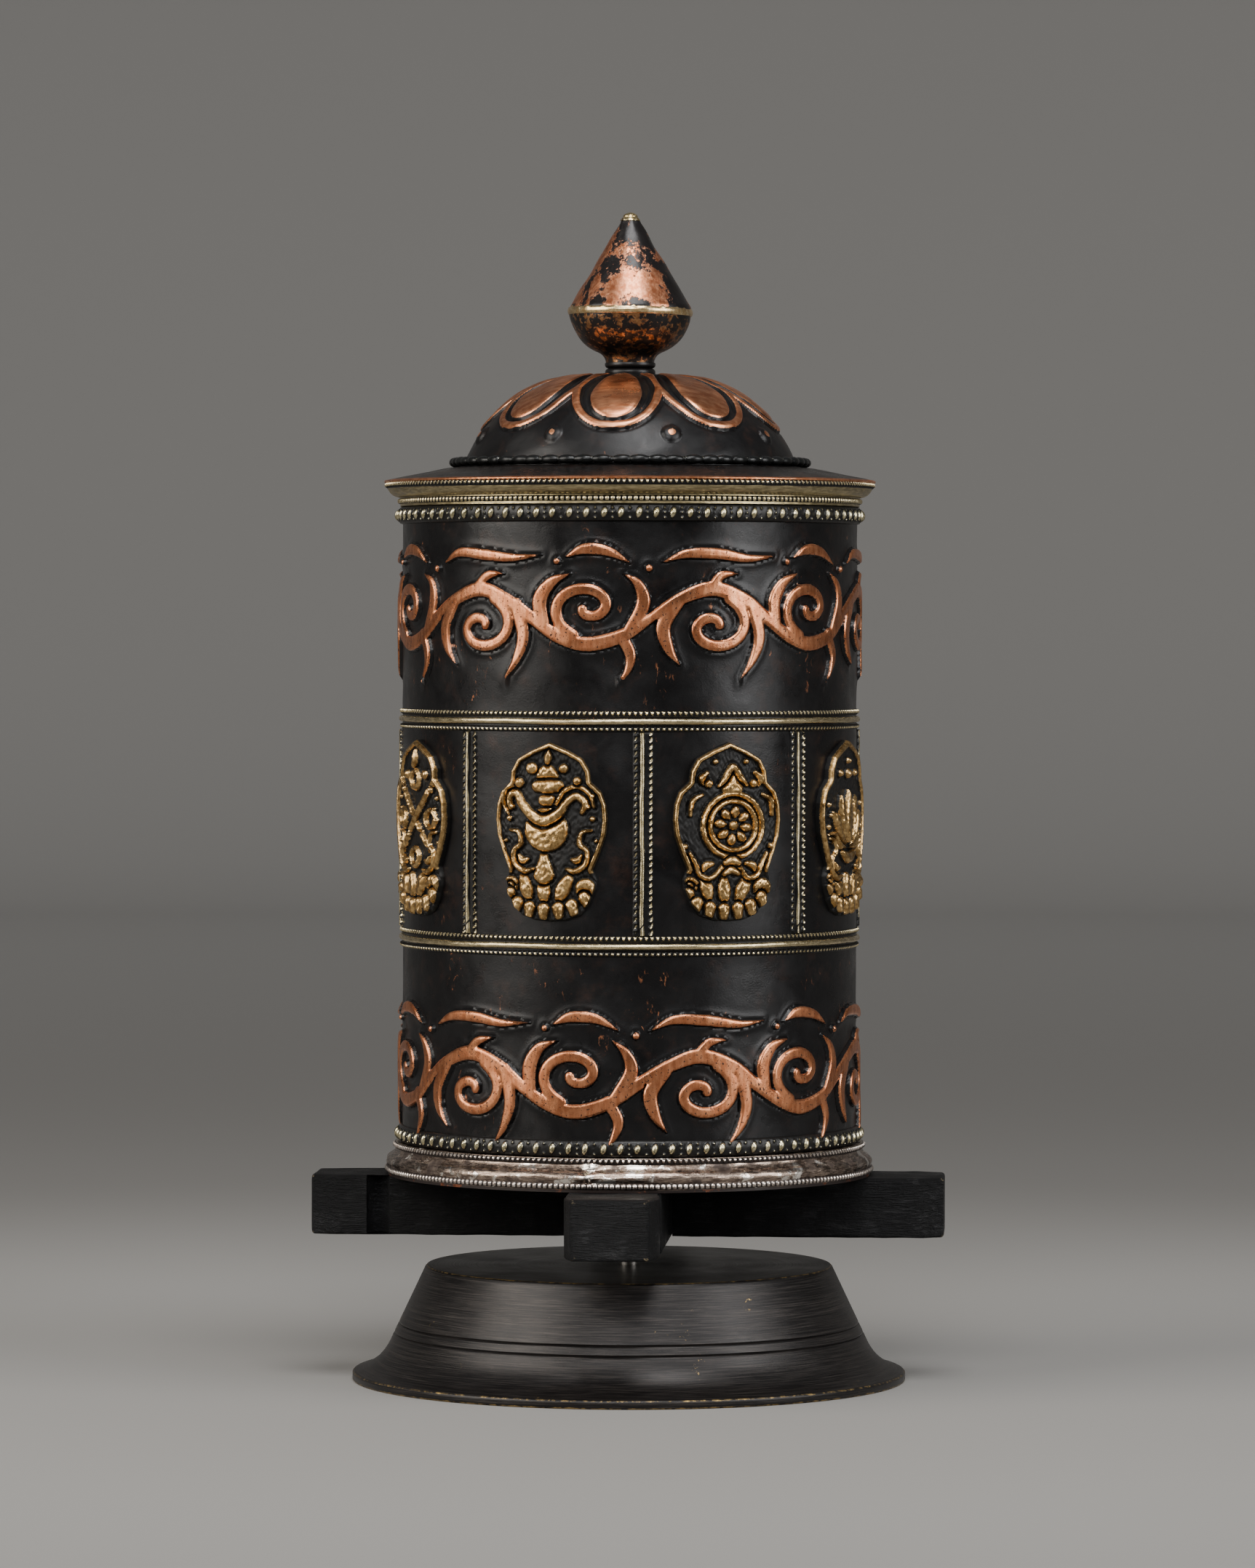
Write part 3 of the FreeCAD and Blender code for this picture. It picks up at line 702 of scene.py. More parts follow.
CAP_COPPER = PatchyMetal("cap_copper", "dd9a74", "a96544", "120e0e", 0.495, 9.0, (1.0, 1.0, 0.55),
                         (0.0, 0.5, 0.0), rough=0.33, coat_rough=0.32, bump=0.05)
BOWL_COPPER = PatchyMetal("bowl_copper", "b08258", "64422e", "100c0b", 0.53, 2.4, rough=0.3)
NECK_DARK = PatchyMetal("neck_dark", "8f7d55", "54452f", "100e0e", 0.68, 3.0)
SEAM_BRASS = PatchyMetal("seam_brass", "f2dcae", "cfab76", "3a2d22", 0.34, 4.0, rough=0.25)
TIP_BRASS = PatchyMetal("tip_brass", "efe0b4", "b59c68", "33291c", 0.42, 3.0, rough=0.22)
STEEL = PlainMetal("turned_steel", "8b8883", "4f4c49")
BUSH_BRASS = PlainMetal("bush_brass", "9c8456", "4d3f29", rough=0.4)
PAPER = WoundPaper()


# --------------------------------------------------------------------------------- carving
def bent(rows: np.ndarray, count: int = 8) -> np.ndarray:
    """Smooth line through rows of (across, up, width): a Catmull-Rom cubic between each pair."""
    rows = np.asarray(rows, float)
    ends = np.concatenate([2 * rows[:1] - rows[1:2], rows, 2 * rows[-1:] - rows[-2:-1]])
    p0, p1, p2, p3 = (ends[k:len(ends) - 3 + k, None] for k in range(4))
    t = np.linspace(0.0, 1.0, count, endpoint=False)[None, :, None]
    line = 0.5 * (2 * p1 + (p2 - p0) * t + (2 * p0 - 5 * p1 + 4 * p2 - p3) * t ** 2
                  + (3 * p1 - p0 - 3 * p2 + p3) * t ** 3)
    line = np.concatenate([line.reshape(-1, 3), rows[-1:]])
    line[:, 2] = np.maximum(line[:, 2], 0.05)
    return line


def spiral(centre: tuple[float, float], radii: tuple[float, float], widths: tuple[float, float],
           start: float, turns: float, count: int = 40) -> np.ndarray:
    """Rows of (across, up, width) along r = r0 + (r1 - r0) t^0.8 with the angle growing evenly."""
    t = np.linspace(0.0, 1.0, count)
    radius = radii[0] + (radii[1] - radii[0]) * t ** 0.8
    turn = np.radians(start) + 2.0 * math.pi * turns * t
    width = widths[0] + (widths[1] - widths[0]) * t
    return np.stack([centre[0] + radius * np.cos(turn), centre[1] + radius * np.sin(turn), width], 1)


@dataclass
class Carving:
    """Raised ornament over points of a sheet: how deep each point lies inside the ornament.

    The depth is the largest, over all strokes drawn, of half the stroke's width less the
    distance to its middle line, so it is negative outside.
    """

    across: np.ndarray
    up: np.ndarray
    period: float = 0.0
    reach: float = 3.0
    weight: float = 1.0
    depth: np.ndarray = field(init=False)

    def __post_init__(self) -> None:
        """Start with a bare sheet."""
        self.depth = np.full(self.across.shape, -self.reach)

    def stroke(self, rows: np.ndarray, gap: float = 0.0) -> None:
        """Draw a stroke of varying width, if wanted with a clear gap cut round it.

        Args:
            rows: Rows of (across, up, width) along its middle line.
            gap: Width of the gap cut into what was drawn before.
        """
        rows = np.asarray(rows, float)
        half = rows[:, 2] / 2 * self.weight
        x, y = self.across, self.up
        if self.period:
            middle = rows[:, 0].mean()
            x = (x - middle + self.period / 2) % self.period - self.period / 2 + middle
        margin = half.max() + self.reach
        least, most = rows[:, :2].min(0) - margin, rows[:, :2].max(0) + margin
        near = np.nonzero((x > least[0]) & (x < most[0]) & (y > least[1]) & (y < most[1]))
        if not near[0].size:
            return
        x, y = x[near][:, None], y[near][:, None]
        start, run = rows[:-1, :2], np.diff(rows[:, :2], axis=0)
        length = np.maximum((run ** 2).sum(1), 1e-9)
        t = np.clip(((x - start[:, 0]) * run[:, 0] + (y - start[:, 1]) * run[:, 1]) / length, 0, 1)
        away = np.hypot(x - start[:, 0] - t * run[:, 0], y - start[:, 1] - t * run[:, 1])
        inside = (half[:-1] + t * np.diff(half) - away).max(1)
        before = self.depth[near]
        if gap:
            before = np.minimum(before, -inside - gap)
        self.depth[near] = np.maximum(before, inside)

    def draw(self, *lines: list[Triple], gap: float = 0.0) -> None:
        """Draw smooth strokes through rows of (across, up, width)."""
        for rows in lines:
            self.stroke(bent(rows), gap)

    def blobs(self, *places: Triple, gap: float = 0.0) -> None:
        """Round knobs at rows of (across, up, diameter)."""
        for across, up, size in places:
            self.stroke([(across, up, size), (across + 0.01, up, size)], gap)

    def mound(self, edge: float) -> np.ndarray:
        """Rounded height from 0 at the outline to 1 at edge inside it: sqrt(t (2 - t))."""
        t = np.clip(self.depth / edge, 0.0, 1.0)
        return np.sqrt(t * (2.0 - t))


# ------------------------------------------------------------------------------ sub-assemblies
@dataclass
class BellBase:
    """Turned bell base with lathe grooves round its cone."""

    columns: int = 288
    foot_radius: float = 83.0
    foot_rim: float = 2.6
    foot_land: float = 8.0
    break_edge: float = 0.35
    flare: tuple[float, float] = (71.3, 12.3)
    top: tuple[float, float] = (60.9, 34.3)
    wall: float = 3.0
    bore: float = 2.5
    grooves: tuple[float, ...] = (16.9, 14.0)
    groove_depth: float = 0.42
    groove_width: float = 0.2

    def profile(self) -> np.ndarray:
        """Closed profile: foot, flare, cone and flat top outside, then back down inside."""
        (flare_r, flare_z), (top_r, top_z) = self.flare, self.top
        foot, break_edge = self.foot_radius, self.break_edge
        outer = arc_line(
            (foot - self.foot_land, 0.0), (foot - break_edge, 0.0), (foot, break_edge),
            (foot, self.foot_rim - break_edge), (foot - break_edge, self.foot_rim),
            (flare_r, flare_z, -1.9), (top_r + 0.25, top_z - 0.5), (top_r - 0.25, top_z),
            (self.bore, top_z), step=0.9)
        inner = arc_line((self.bore, top_z - self.wall), (top_r - self.wall, top_z - self.wall),
                         (flare_r - self.wall, flare_z), (foot - self.foot_land, 0.0), step=3.0)
        near = np.array([-0.5, -0.3, -0.2, -0.1, 0.0, 0.1, 0.2, 0.3, 0.5])
        extra = (np.array(self.grooves)[::-1, None] + near).ravel()
        slope = (top_r - flare_r) / (top_z - flare_z)
        extra = np.stack([flare_r + (extra - flare_z) * slope, extra], 1)
        cone = (outer[:, 1] > flare_z + 0.1) & (outer[:, 1] < top_z - 0.6) & (outer[:, 0] > top_r)
        first, last = np.nonzero(cone)[0][[0, -1]]
        middle = np.concatenate([outer[first:last + 1], extra])
        middle = middle[np.argsort(middle[:, 1])]
        outer = np.concatenate([outer[:first], middle, outer[last + 1:]])
        radius, height = outer.T
        for groove in self.grooves:
            cut = np.exp(-((height - groove) / self.groove_width) ** 2)
            radius = radius - (radius > top_r + 1.0) * self.groove_depth * cut
        return np.concatenate([np.stack([radius, height], 1), inner[:-1]])

    def pieces(self) -> list[Piece]:
        """The bell, with its sharp edges marked for the brass that shows there."""
        profile = self.profile()
        bell = solid_of_revolution(profile, self.columns)
        edge = np.zeros(len(profile))
        for radius, height, width in ((self.foot_radius, self.foot_rim, 0.7), (*self.top, 0.7),
                                      (self.foot_radius, 0.0, 0.9)):
            away = np.hypot(profile[:, 0] - radius, profile[:, 1] - height)
            edge = np.maximum(edge, np.exp(-(away / width) ** 2))
        bell.relief = np.broadcast_to(edge, bell.points.shape[:2])
        return [Piece("base_bell", [bell], TURNED_BLACK, "stand", "oxidised_brass", ("base",))]


@dataclass
class WoodenCross:
    """Two half-lapped bars with chamfered tips, a flute near each tip and hand-worked faces."""

    length: float = 189.4
    width: float = 27.4
    turn: float = -3.4
    tip_length: float = 8.0
    tip_depth: float = 2.3
    corner: float = 1.0
    flute_from_tip: float = 20.3
    flute_width: float = 5.6
    flute_depth: float = 4.6
    flute_spread: float = 0.62
    hand_work: float = 0.035
    waves: int = 12
    plain_relief: float = 0.22

    def section(self) -> tuple[np.ndarray, np.ndarray]:
        """Unit rounded rectangle: which corner each point belongs to, and its corner arc."""
        flat = np.linspace(-1.0, 1.0, 15)[1:-1]
        arc = np.radians(np.linspace(0.0, 90.0, 6))
        corners, arcs = [], []
        for k, (sx, sz) in enumerate(((1, 1), (-1, 1), (-1, -1), (1, -1))):
            turn = arc + math.pi / 2 * k
            corners.append(np.tile([[sx, sz]], (len(arc), 1)))
            arcs.append(np.stack([np.cos(turn), np.sin(turn)], 1))
            next_corner = np.array(((-1, 1), (-1, -1), (1, -1), (1, 1))[k], float)
            t = (flat[:, None] + 1) / 2
            corners.append((1 - t) * np.array([sx, sz], float) + t * next_corner)
            arcs.append(np.tile([[np.cos(turn[-1]), np.sin(turn[-1])]], (len(flat), 1)))
        return np.concatenate(corners), np.concatenate(arcs)

    def stations(self) -> np.ndarray:
        """Places along the bar, close together at tips, flutes and the lap."""
        half, lap = self.length / 2, self.width / 2
        flute = half - self.flute_from_tip
        across = flute + self.flute_width * self.flute_spread * np.sin(np.radians(np.linspace(-90, 90, 19)))
        tips = half - np.array([0.0, 0.12, 0.35, 0.8, 1.5, 2.5, 4.0, 6.0, 7.6, 8.4, 10.0, 12.0, 14.5])
        walls = np.array([across[0] - 0.03, across[-1] + 0.03])
        side = np.concatenate([tips, across, walls, np.linspace(lap + 0.6, across[0] - 2, 22),
                               [lap - 0.02, lap + 0.02]])
        middle = np.linspace(-lap + 1, lap - 1, 14)
        return np.unique(np.concatenate([side, -side, middle]))

    def bar(self, arms: float, keep_low: bool, seed: int) -> Surface:
        """A rounded rectangle carried along the bar, narrowed at the tips and cut by the flutes.

        Args:
            arms: Degrees from the front to the bar's first arm.
            keep_low: Whether the lower half stays at the lap.
            seed: Start of the random hand-work.

        Returns:
            The closed bar, with relief high along its worn edges.
        """
        low_z, high_z = low("cross_bar_fore_aft")[2], high("cross_bar_fore_aft")[2]
        y = self.stations()
        half, lap = self.length / 2, self.width / 2
        from_tip = half - np.abs(y)
        narrow = np.clip(1.0 - from_tip / self.tip_length, 0.0, 1.0) * self.tip_depth
        round_tip = 1.0 - np.sqrt(1.0 - np.clip(1.0 - from_tip / self.corner, 0.0, 1.0) ** 2)
        half_x = self.width / 2 - narrow - round_tip * self.corner
        half_z = np.full_like(y, (high_z - low_z) / 2) - round_tip * self.corner
        middle_z = np.full_like(y, (high_z + low_z) / 2)
        lapped = np.abs(y) < lap
        half_z = np.where(lapped, half_z / 2, half_z)
        middle_z = middle_z + np.where(lapped, (-1 if keep_low else 1) * (high_z - low_z) / 4, 0.0)
        corner, arc = self.section()
        x = (half_x[None] - self.corner) * corner[:, :1] + self.corner * arc[:, :1]
        z = middle_z[None] + (half_z[None] - self.corner) * corner[:, 1:] + self.corner * arc[:, 1:]
        for sign in (1, -1):
            off = (y + sign * (half - self.flute_from_tip)) / (self.flute_width * self.flute_spread)
            depth = self.flute_depth * np.clip(1.0 - off ** 2, 0.0, 1.0)[None] ** 0.75
            facing = smooth(corner[:, :1] * sign, 0.8, 0.98)
            x = x - sign * facing * depth * (np.abs(arc[:, :1]) > 0.02)
        rng = np.random.default_rng(seed)
        place = np.linspace(0.0, 2.0 * math.pi, len(corner), endpoint=False)[:, None]
        worked = sum(np.sin(place * rng.integers(1, 7) + y[None] * rng.uniform(-0.35, 0.35)
                            + rng.uniform(0, 6.28)) for _ in range(self.waves)) * self.hand_work
        x, z = x - np.abs(worked) * arc[:, :1], z - np.abs(worked) * arc[:, 1:]
        edge = (np.abs(arc[:, :1]) > 0.2) & (np.abs(arc[:, 1:]) > 0.2)
        relief = (self.plain_relief + 0.26 * edge + 0.16 * edge * (from_tip < 1.2)
                  + 0.1 * (from_tip < 0.9))
        points = np.stack([x, np.broadcast_to(y, x.shape), z], -1)
        cap = np.array([[0.0, -half, middle_z[0]], [0.0, half, middle_z[-1]]])
        count = len(corner)
        ends = [np.tile(cap[k], (count, 1, 1)) for k in (0, 1)]
        points[:, 0, 1], points[:, -1, 1] = -half, half
        steps = np.linspace(0.2, 0.95, 5)[None, :, None]
        inner = [cap[k] + (points[:, -k] - cap[k])[:, None] * steps for k in (0, 1)]
        points = np.concatenate([ends[0], inner[0], points, inner[1][:, ::-1], ends[1]], axis=1)
        end_relief = np.full((count, 6), self.plain_relief)
        relief = np.concatenate([end_relief, relief, end_relief], axis=1)
        turn = math.radians(arms + self.turn)
        turned = points.copy()
        turned[..., 0] = points[..., 0] * math.cos(turn) - points[..., 1] * math.sin(turn)
        turned[..., 1] = points[..., 0] * math.sin(turn) + points[..., 1] * math.cos(turn)
        return Surface(turned, True, False, relief)

    def pieces(self) -> list[Piece]:
        """Both bars, each with its own hand-work."""
        return [Piece("cross_fore_aft", [self.bar(0.0, True, 3)], WOOD_FORE, "drum", "black_wood",
                      ("cross_bar_fore_aft",)),
                Piece("cross_side", [self.bar(90.0, False, 4)], WOOD_SIDE, "drum", "black_wood",
                      ("cross_bar_side",))]


@dataclass
class DrumShell:
    """Copper sheet in three stages; the upper and lower ones are embossed with a scroll."""

    radius: float = 68.0
    wall: float = 0.9
    columns: int = 944
    zone_bottom: float = 13.0
    zone_height: float = 41.0
    row: float = 0.5
    emboss: float = 1.25
    repeats: int = 6
    weight: float = 1.34
    drawn_pitch: float = 53.4

    def scroll(self, carving: Carving, centre: float, flip: int, rng: np.random.Generator) -> None:
        """One repeat of a running vine: stem, two volutes, leaves, hanging tails, cloud wisps.

        Args:
            carving: The sheet it is drawn on, with heights from the zone's bottom.
            centre: Where the repeat's middle lies along the sheet.
            flip: 1 or -1 to mirror it left to right.
            rng: Source of its small hand-drawn differences.
        """
        pitch = carving.period / self.repeats

        def place(rows: list[Triple]) -> np.ndarray:
            """Rows moved to the repeat's middle, each off by a little of its own."""
            moved = np.array(rows, float) * (1.0, 1.0, self.weight)
            moved[:, :2] += rng.normal(0.0, 0.16, (len(moved), 2))
            moved[:, 0] = centre + flip * moved[:, 0] * pitch / self.drawn_pitch
            return moved

        def volute(*args: object) -> np.ndarray:
            """A spiral at its place in the repeat."""
            line = spiral(*args) * (1.0, 1.0, self.weight)
            line[:, 0] = centre + flip * line[:, 0] * pitch / self.drawn_pitch
            return line

        strokes = [
            [(-27.2, 17.5, 2.2), (-20.5, 22.6, 3.0), (-13.0, 25.6, 3.5), (-5.5, 22.4, 3.4),
             (0.5, 17.0, 3.0), (7.0, 11.6, 3.1), (13.4, 9.6, 3.5), (20.6, 12.0, 3.2),
             (27.2, 17.5, 2.2)],
            [(-3.6, 20.8, 3.3), (-1.8, 12.0, 3.2), (-3.4, 5.0, 2.2), (-6.4, -1.0, 0.35)],
            [(-20.4, 21.4, 2.6), (-23.6, 15.0, 3.4), (-23.0, 8.5, 2.6), (-20.2, 3.4, 0.4)],
            [(20.4, 12.4, 2.8), (22.4, 6.4, 2.6), (21.4, 1.4, 1.5), (19.4, -2.0, 0.3)],
            [(3.2, 14.4, 2.6), (2.4, 22.0, 3.6), (5.0, 27.6, 2.6), (9.2, 30.0, 0.5)],
            [(22.0, 13.6, 2.2), (25.2, 21.0, 3.2), (24.2, 27.0, 2.2), (21.0, 30.2, 0.4)],
            [(-13.2, 26.0, 2.4), (-10.8, 29.4, 2.2), (-6.8, 30.2, 0.5)],
        ]
        for rows in strokes:
            carving.stroke(bent(place(rows)))
        carving.stroke(volute((-12.6, 14.6), (9.0, 1.4), (2.9, 2.4), 66.0, -1.12))
        carving.stroke(volute((13.2, 20.2), (8.8, 1.4), (2.9, 2.4), -112.0, -1.12))
        wisps = [
            [(-24.0, 33.2, 0.5), (-19.0, 36.2, 2.2), (-11.5, 36.0, 2.7), (-4.0, 34.6, 2.0),
             (2.6, 35.4, 0.4)],
            [(8.0, 34.8, 0.5), (12.2, 37.2, 2.6), (17.6, 36.6, 2.4), (22.6, 33.2, 0.5)],
        ]
        for rows in wisps:
            carving.stroke(bent(place(rows)))
        carving.blobs((centre + flip * 6.2 * pitch / self.drawn_pitch, 33.6, 2.2),
                      (centre + flip * -27.0 * pitch / self.drawn_pitch, 31.6, 2.4))

    def stage(self, node: str, seed: int, shift: float) -> Surface:
        """A sheet whose outer face is pressed out under the scroll, with a soft shoulder round it.

        Args:
            node: The CAD node that gives its height.
            seed: Start of the hand-drawn differences.
            shift: Degrees by which the scroll is turned.

        Returns:
            The closed sheet.
        """
        bottom, top = low(node)[2], high(node)[2]
        zone = bottom + self.zone_bottom
        rows = np.arange(0.0, self.zone_height + 0.01, self.row) + zone
        height = np.concatenate([np.linspace(bottom, zone, 8, endpoint=False), rows,
                                 np.linspace(rows[-1], top, 9)[1:]])
        angle = np.arange(self.columns)[:, None] * 360.0 / self.columns
        across, up = np.broadcast_arrays(np.radians(angle) * self.radius, height[None] - zone)
        girth = 2.0 * math.pi * self.radius
        carving = Carving(across, up, girth)
        rng = np.random.default_rng(seed)
        for k in range(self.repeats):
            centre = girth * ((k + 0.5) / self.repeats + shift / 360.0)
            self.scroll(carving, centre, 1, rng)
        raised = carving.mound(0.95)
        outside = np.minimum(carving.depth, 0.0)
        shoulder = 0.28 * np.exp(-(outside / 1.5) ** 2) * (carving.depth > -2.95)
        crease = 0.22 * np.exp(-((carving.depth + 0.25) / 0.3) ** 2)
        dents = ripple(angle, height[None], seed, 0.1)
        fade = smooth(height, bottom, bottom + 5.0) * smooth(-height, -top, 5.0 - top)
        out = self.radius + (self.emboss * raised + shoulder - crease + dents) * fade[None]
        outer = around(angle, out, height[None])
        back = np.linspace(top, bottom, 4)
        inner = around(angle, self.radius - self.wall, back[None])
        relief = smooth(carving.depth, -0.12, 0.72) * 0.94
        relief = relief + 0.12 * np.exp(-((carving.depth - 0.2) / 0.22) ** 2)
        return Surface(np.concatenate([outer, inner], 1), True, True,
                       np.concatenate([relief, np.zeros((self.columns, len(back)))], 1))

    def plain_stage(self, node: str, seed: int) -> Surface:
        """The middle sheet: no ornament, only the unevenness of beaten metal."""
        bottom, top = low(node)[2], high(node)[2]
        height = np.linspace(bottom, top, 40)
        angle = np.arange(320)[:, None] * 360.0 / 320
        outer = around(angle, self.radius + ripple(angle, height[None], seed, 0.1), height[None])
        inner = around(angle, self.radius - self.wall, np.linspace(top, bottom, 4)[None])
        surface = Surface(np.concatenate([outer, inner], 1))
        surface.relief = np.zeros(surface.points.shape[:2])
        return surface

    def pieces(self) -> list[Piece]:
        """The three stages."""
        body, slot = "drum", "patina_copper"
        return [
            Piece("sheet_lower", [self.stage("shell_lower", 11, 2.0)], COPPER_RELIEF, body, slot,
                  ("shell_lower",)),
            Piece("sheet_middle", [self.plain_stage("shell_middle", 12)], PATINA, body, slot,
                  ("shell_middle",)),
            Piece("sheet_upper", [self.stage("shell_upper", 13, 5.0)], COPPER_RELIEF, body, slot,
                  ("shell_upper",)),
        ]


class BeadShape(Enum):
    """How a bead wire's beads are cut."""

    ROUND = "round"
    TEETH_DOWN = "teeth pointing down"
    DROPS = "small leaning drops"


@dataclass
class BeadTrim:
    """The bead wires, plain ribs and bands of large beads soldered round the drum."""

    across_bead: int = 6
    wire_reach: float = 0.85
    rib_reach: float = 1.3
    large_beads: int = 86
    large_columns: int = 16
    sunk: float = 0.35

    def wire(self, node: str, beads: int, shape: BeadShape, lean: float = 0.0) -> Surface:
        """Half-round wire cut into beads: its reach rises and falls along the wire.

        Args:
            node: The CAD node that gives its place.
            beads: How many beads go round.
            shape: How they are cut.
            lean: How far a bead's top lies behind its foot, in beads.

        Returns:
            The closed wire.
        """
        bottom, top = low(node)[2], high(node)[2]
        seat = high(node)[0] - self.wire_reach
        columns = beads * self.across_bead
        angle = np.arange(columns)[:, None] * 360.0 / columns
        up = np.array([-1.0, -0.88, -0.55, -0.2, 0.2, 0.55, 0.88, 1.0])[None]
        phase = np.arange(columns)[:, None] / self.across_bead + lean * up
        wave = 0.5 + 0.5 * np.cos(2.0 * math.pi * phase)
        belly = np.sqrt(np.maximum(1.0 - up ** 2, 0.0))
        if shape is BeadShape.ROUND:
            bead = np.sqrt(wave) * belly
        elif shape is BeadShape.DROPS:
            bead = smooth(wave, 0.2, 0.7) * smooth(-np.abs(up - 0.1), -0.95, -0.3)
        else:
            bead = smooth(wave + (up - 0.55) * 0.62, 0.18, 0.5)
            bead = bead * smooth(-np.abs(up), -1.0, -0.8)
        out = 0.02 + self.wire_reach * (0.34 * belly + 0.66 * bead)
        middle = (bottom + top) / 2
        face = around(angle, seat + out, middle + up * (top - bottom) / 2)
        back = around(angle, seat - self.sunk, np.array([[top, bottom]]))
        shown = np.clip(bead * 1.15, 0, 1)
        if shape is not BeadShape.ROUND:
            shown = shown * smooth(up if shape is BeadShape.TEETH_DOWN else -up, -0.75, 0.1)
        relief = np.concatenate([shown, np.zeros((columns, 2))], 1)
        return Surface(np.concatenate([face, back], 1), True, True, relief)

    def rib(self, node: str, seed: int) -> Surface:
        """Plain rounded rib, a little uneven, flattened where it was filed.

        Args:
            node: The CAD node that gives its place.
            seed: Start of the unevenness.

        Returns:
            The closed rib.
        """
        bottom, top = low(node)[2], high(node)[2]
        seat = high(node)[0] - self.rib_reach
        columns = 480
        angle = np.arange(columns)[:, None] * 360.0 / columns
        turn = np.radians(np.linspace(-90.0, 90.0, 13))[None]
        flat = np.abs(np.cos(turn)) ** 0.8
        reach = self.rib_reach * 0.92 + ripple(angle, np.zeros_like(turn), seed, 0.05, turns=40)
        wander = ripple(angle, np.zeros_like(turn), seed + 1, 0.1, turns=14)
        face = around(angle, seat + reach * flat, (top + bottom) / 2 + wander
                      + np.sin(turn) * (top - bottom) / 2 * 0.72)
        back = around(angle, seat - self.sunk, np.array([[top - 0.5, bottom + 0.5]]))
        surface = Surface(np.concatenate([face, back], 1))
        surface.relief = np.concatenate([np.broadcast_to(flat, face.shape[:2]),
                                         np.zeros((columns, 2))], 1)
        return surface

    def large_band(self, node: str, seed: int) -> Surface:
        """Black half-round band with upright drop-shaped beads and dots between them.

        Args:
            node: The CAD node that gives its place.
            seed: Start of the differences from bead to bead.

        Returns:
            The closed band.
        """
        bottom, top = low(node)[2], high(node)[2]
        seat = -low("shell_upper")[0]
        columns = self.large_beads * self.large_columns
        angle = np.arange(columns)[:, None] * 360.0 / columns
        up = np.linspace(-1.0, 1.0, 19)[None] * (top - bottom) / 2
        number = np.arange(columns)[:, None] // self.large_columns
        pitch = 2.0 * math.pi * (seat + 2.0) / self.large_beads
        rng = np.random.default_rng(seed)
        spread = rng.normal(0.0, 1.0, (3, self.large_beads))
        share = (np.arange(columns)[:, None] % self.large_columns) / self.large_columns
        along = (share - 0.5) * pitch
        x = along - 0.1 * spread[0][number] - 0.16 * up
        half_width = np.where(up > 0.0, 0.98, 0.98 * (1.0 - 0.55 * (up / -1.9) ** 2))
        distance = np.hypot(x / np.maximum(half_width, 0.2), up / (1.72 + 0.1 * spread[1][number]))
        bead = np.sqrt(np.clip(1.0 - distance ** 2, 0.0, 1.0))
        dots = np.zeros_like(bead)
        gap = np.minimum(np.abs(along + pitch / 2), np.abs(along - pitch / 2))
        for height, size in ((1.45, 0.42), (-1.45, 0.42), (0.1, 0.36)):
            lift = np.clip(1.0 - (np.hypot(gap, up - height) / size) ** 2, 0.0, 1.0)
            show = 1.0 if abs(height) > 1.0 else (spread[2][number] > 0.2)
            dots = np.maximum(dots, np.sqrt(lift) * show)
        belly = np.sqrt(np.clip(1.0 - (up / ((top - bottom) / 2)) ** 2, 0.0, 1.0))
        out = seat + 0.05 + 1.35 * belly ** 0.7 + 1.15 * bead + 0.5 * dots * belly
        face = around(angle, out, (top + bottom) / 2 + up)
        back = around(angle, seat - self.sunk, np.array([[top, bottom]]))
        relief = np.maximum(smooth(bead, 0.15, 0.75), smooth(dots, 0.3, 0.9) * 0.66)
        return Surface(np.concatenate([face, back], 1), True, True,
                       np.concatenate([relief, np.zeros((columns, 2))], 1))

    def pieces(self) -> list[Piece]:
        """All wires, ribs and bands of the drum."""
        made = []
        wires = {
            "wire_moulding_lower": (276, BeadShape.ROUND, 0.0, TINNED_BEAD, "silvered_copper"),
            "wire_moulding_upper": (264, BeadShape.TEETH_DOWN, 0.0, TINNED_BEAD, "silvered_copper"),
            "wire_cornice_lower": (262, BeadShape.ROUND, 0.0, BEAD_BRASS, "pale_brass"),
            "wire_cornice_upper": (272, BeadShape.TEETH_DOWN, 0.0, BEAD_BRASS, "pale_brass"),
            "wire_band_lower_under": (260, BeadShape.DROPS, 0.22, BEAD_BRASS, "pale_brass"),
            "wire_band_lower_over": (260, BeadShape.TEETH_DOWN, 0.0, BEAD_BRASS, "pale_brass"),
            "wire_band_upper_under": (260, BeadShape.DROPS, 0.22, BEAD_BRASS, "pale_brass"),
            "wire_band_upper_over": (260, BeadShape.TEETH_DOWN, 0.0, BEAD_BRASS, "pale_brass"),
        }
        for node, (beads, shape, lean, finish, slot) in wires.items():
            wire = self.wire(node, beads, shape, lean)
            name = node.replace("wire", "beading")
            made.append(Piece(name, [wire], finish, "drum", slot, (node,)))
        for seed, stage in ((21, "lower"), (23, "upper")):
            node = "band_rib_" + stage
            made.append(Piece("rib_" + stage, [self.rib(node, seed)], RIB_BRASS, "drum",
                              "pale_brass", (node,)))
            node = "bead_band_" + stage
            made.append(Piece("large_beads_" + stage, [self.large_band(node, seed + 1)], LARGE_BEAD,
                              "drum", "silvered_copper", (node,)))
        return made


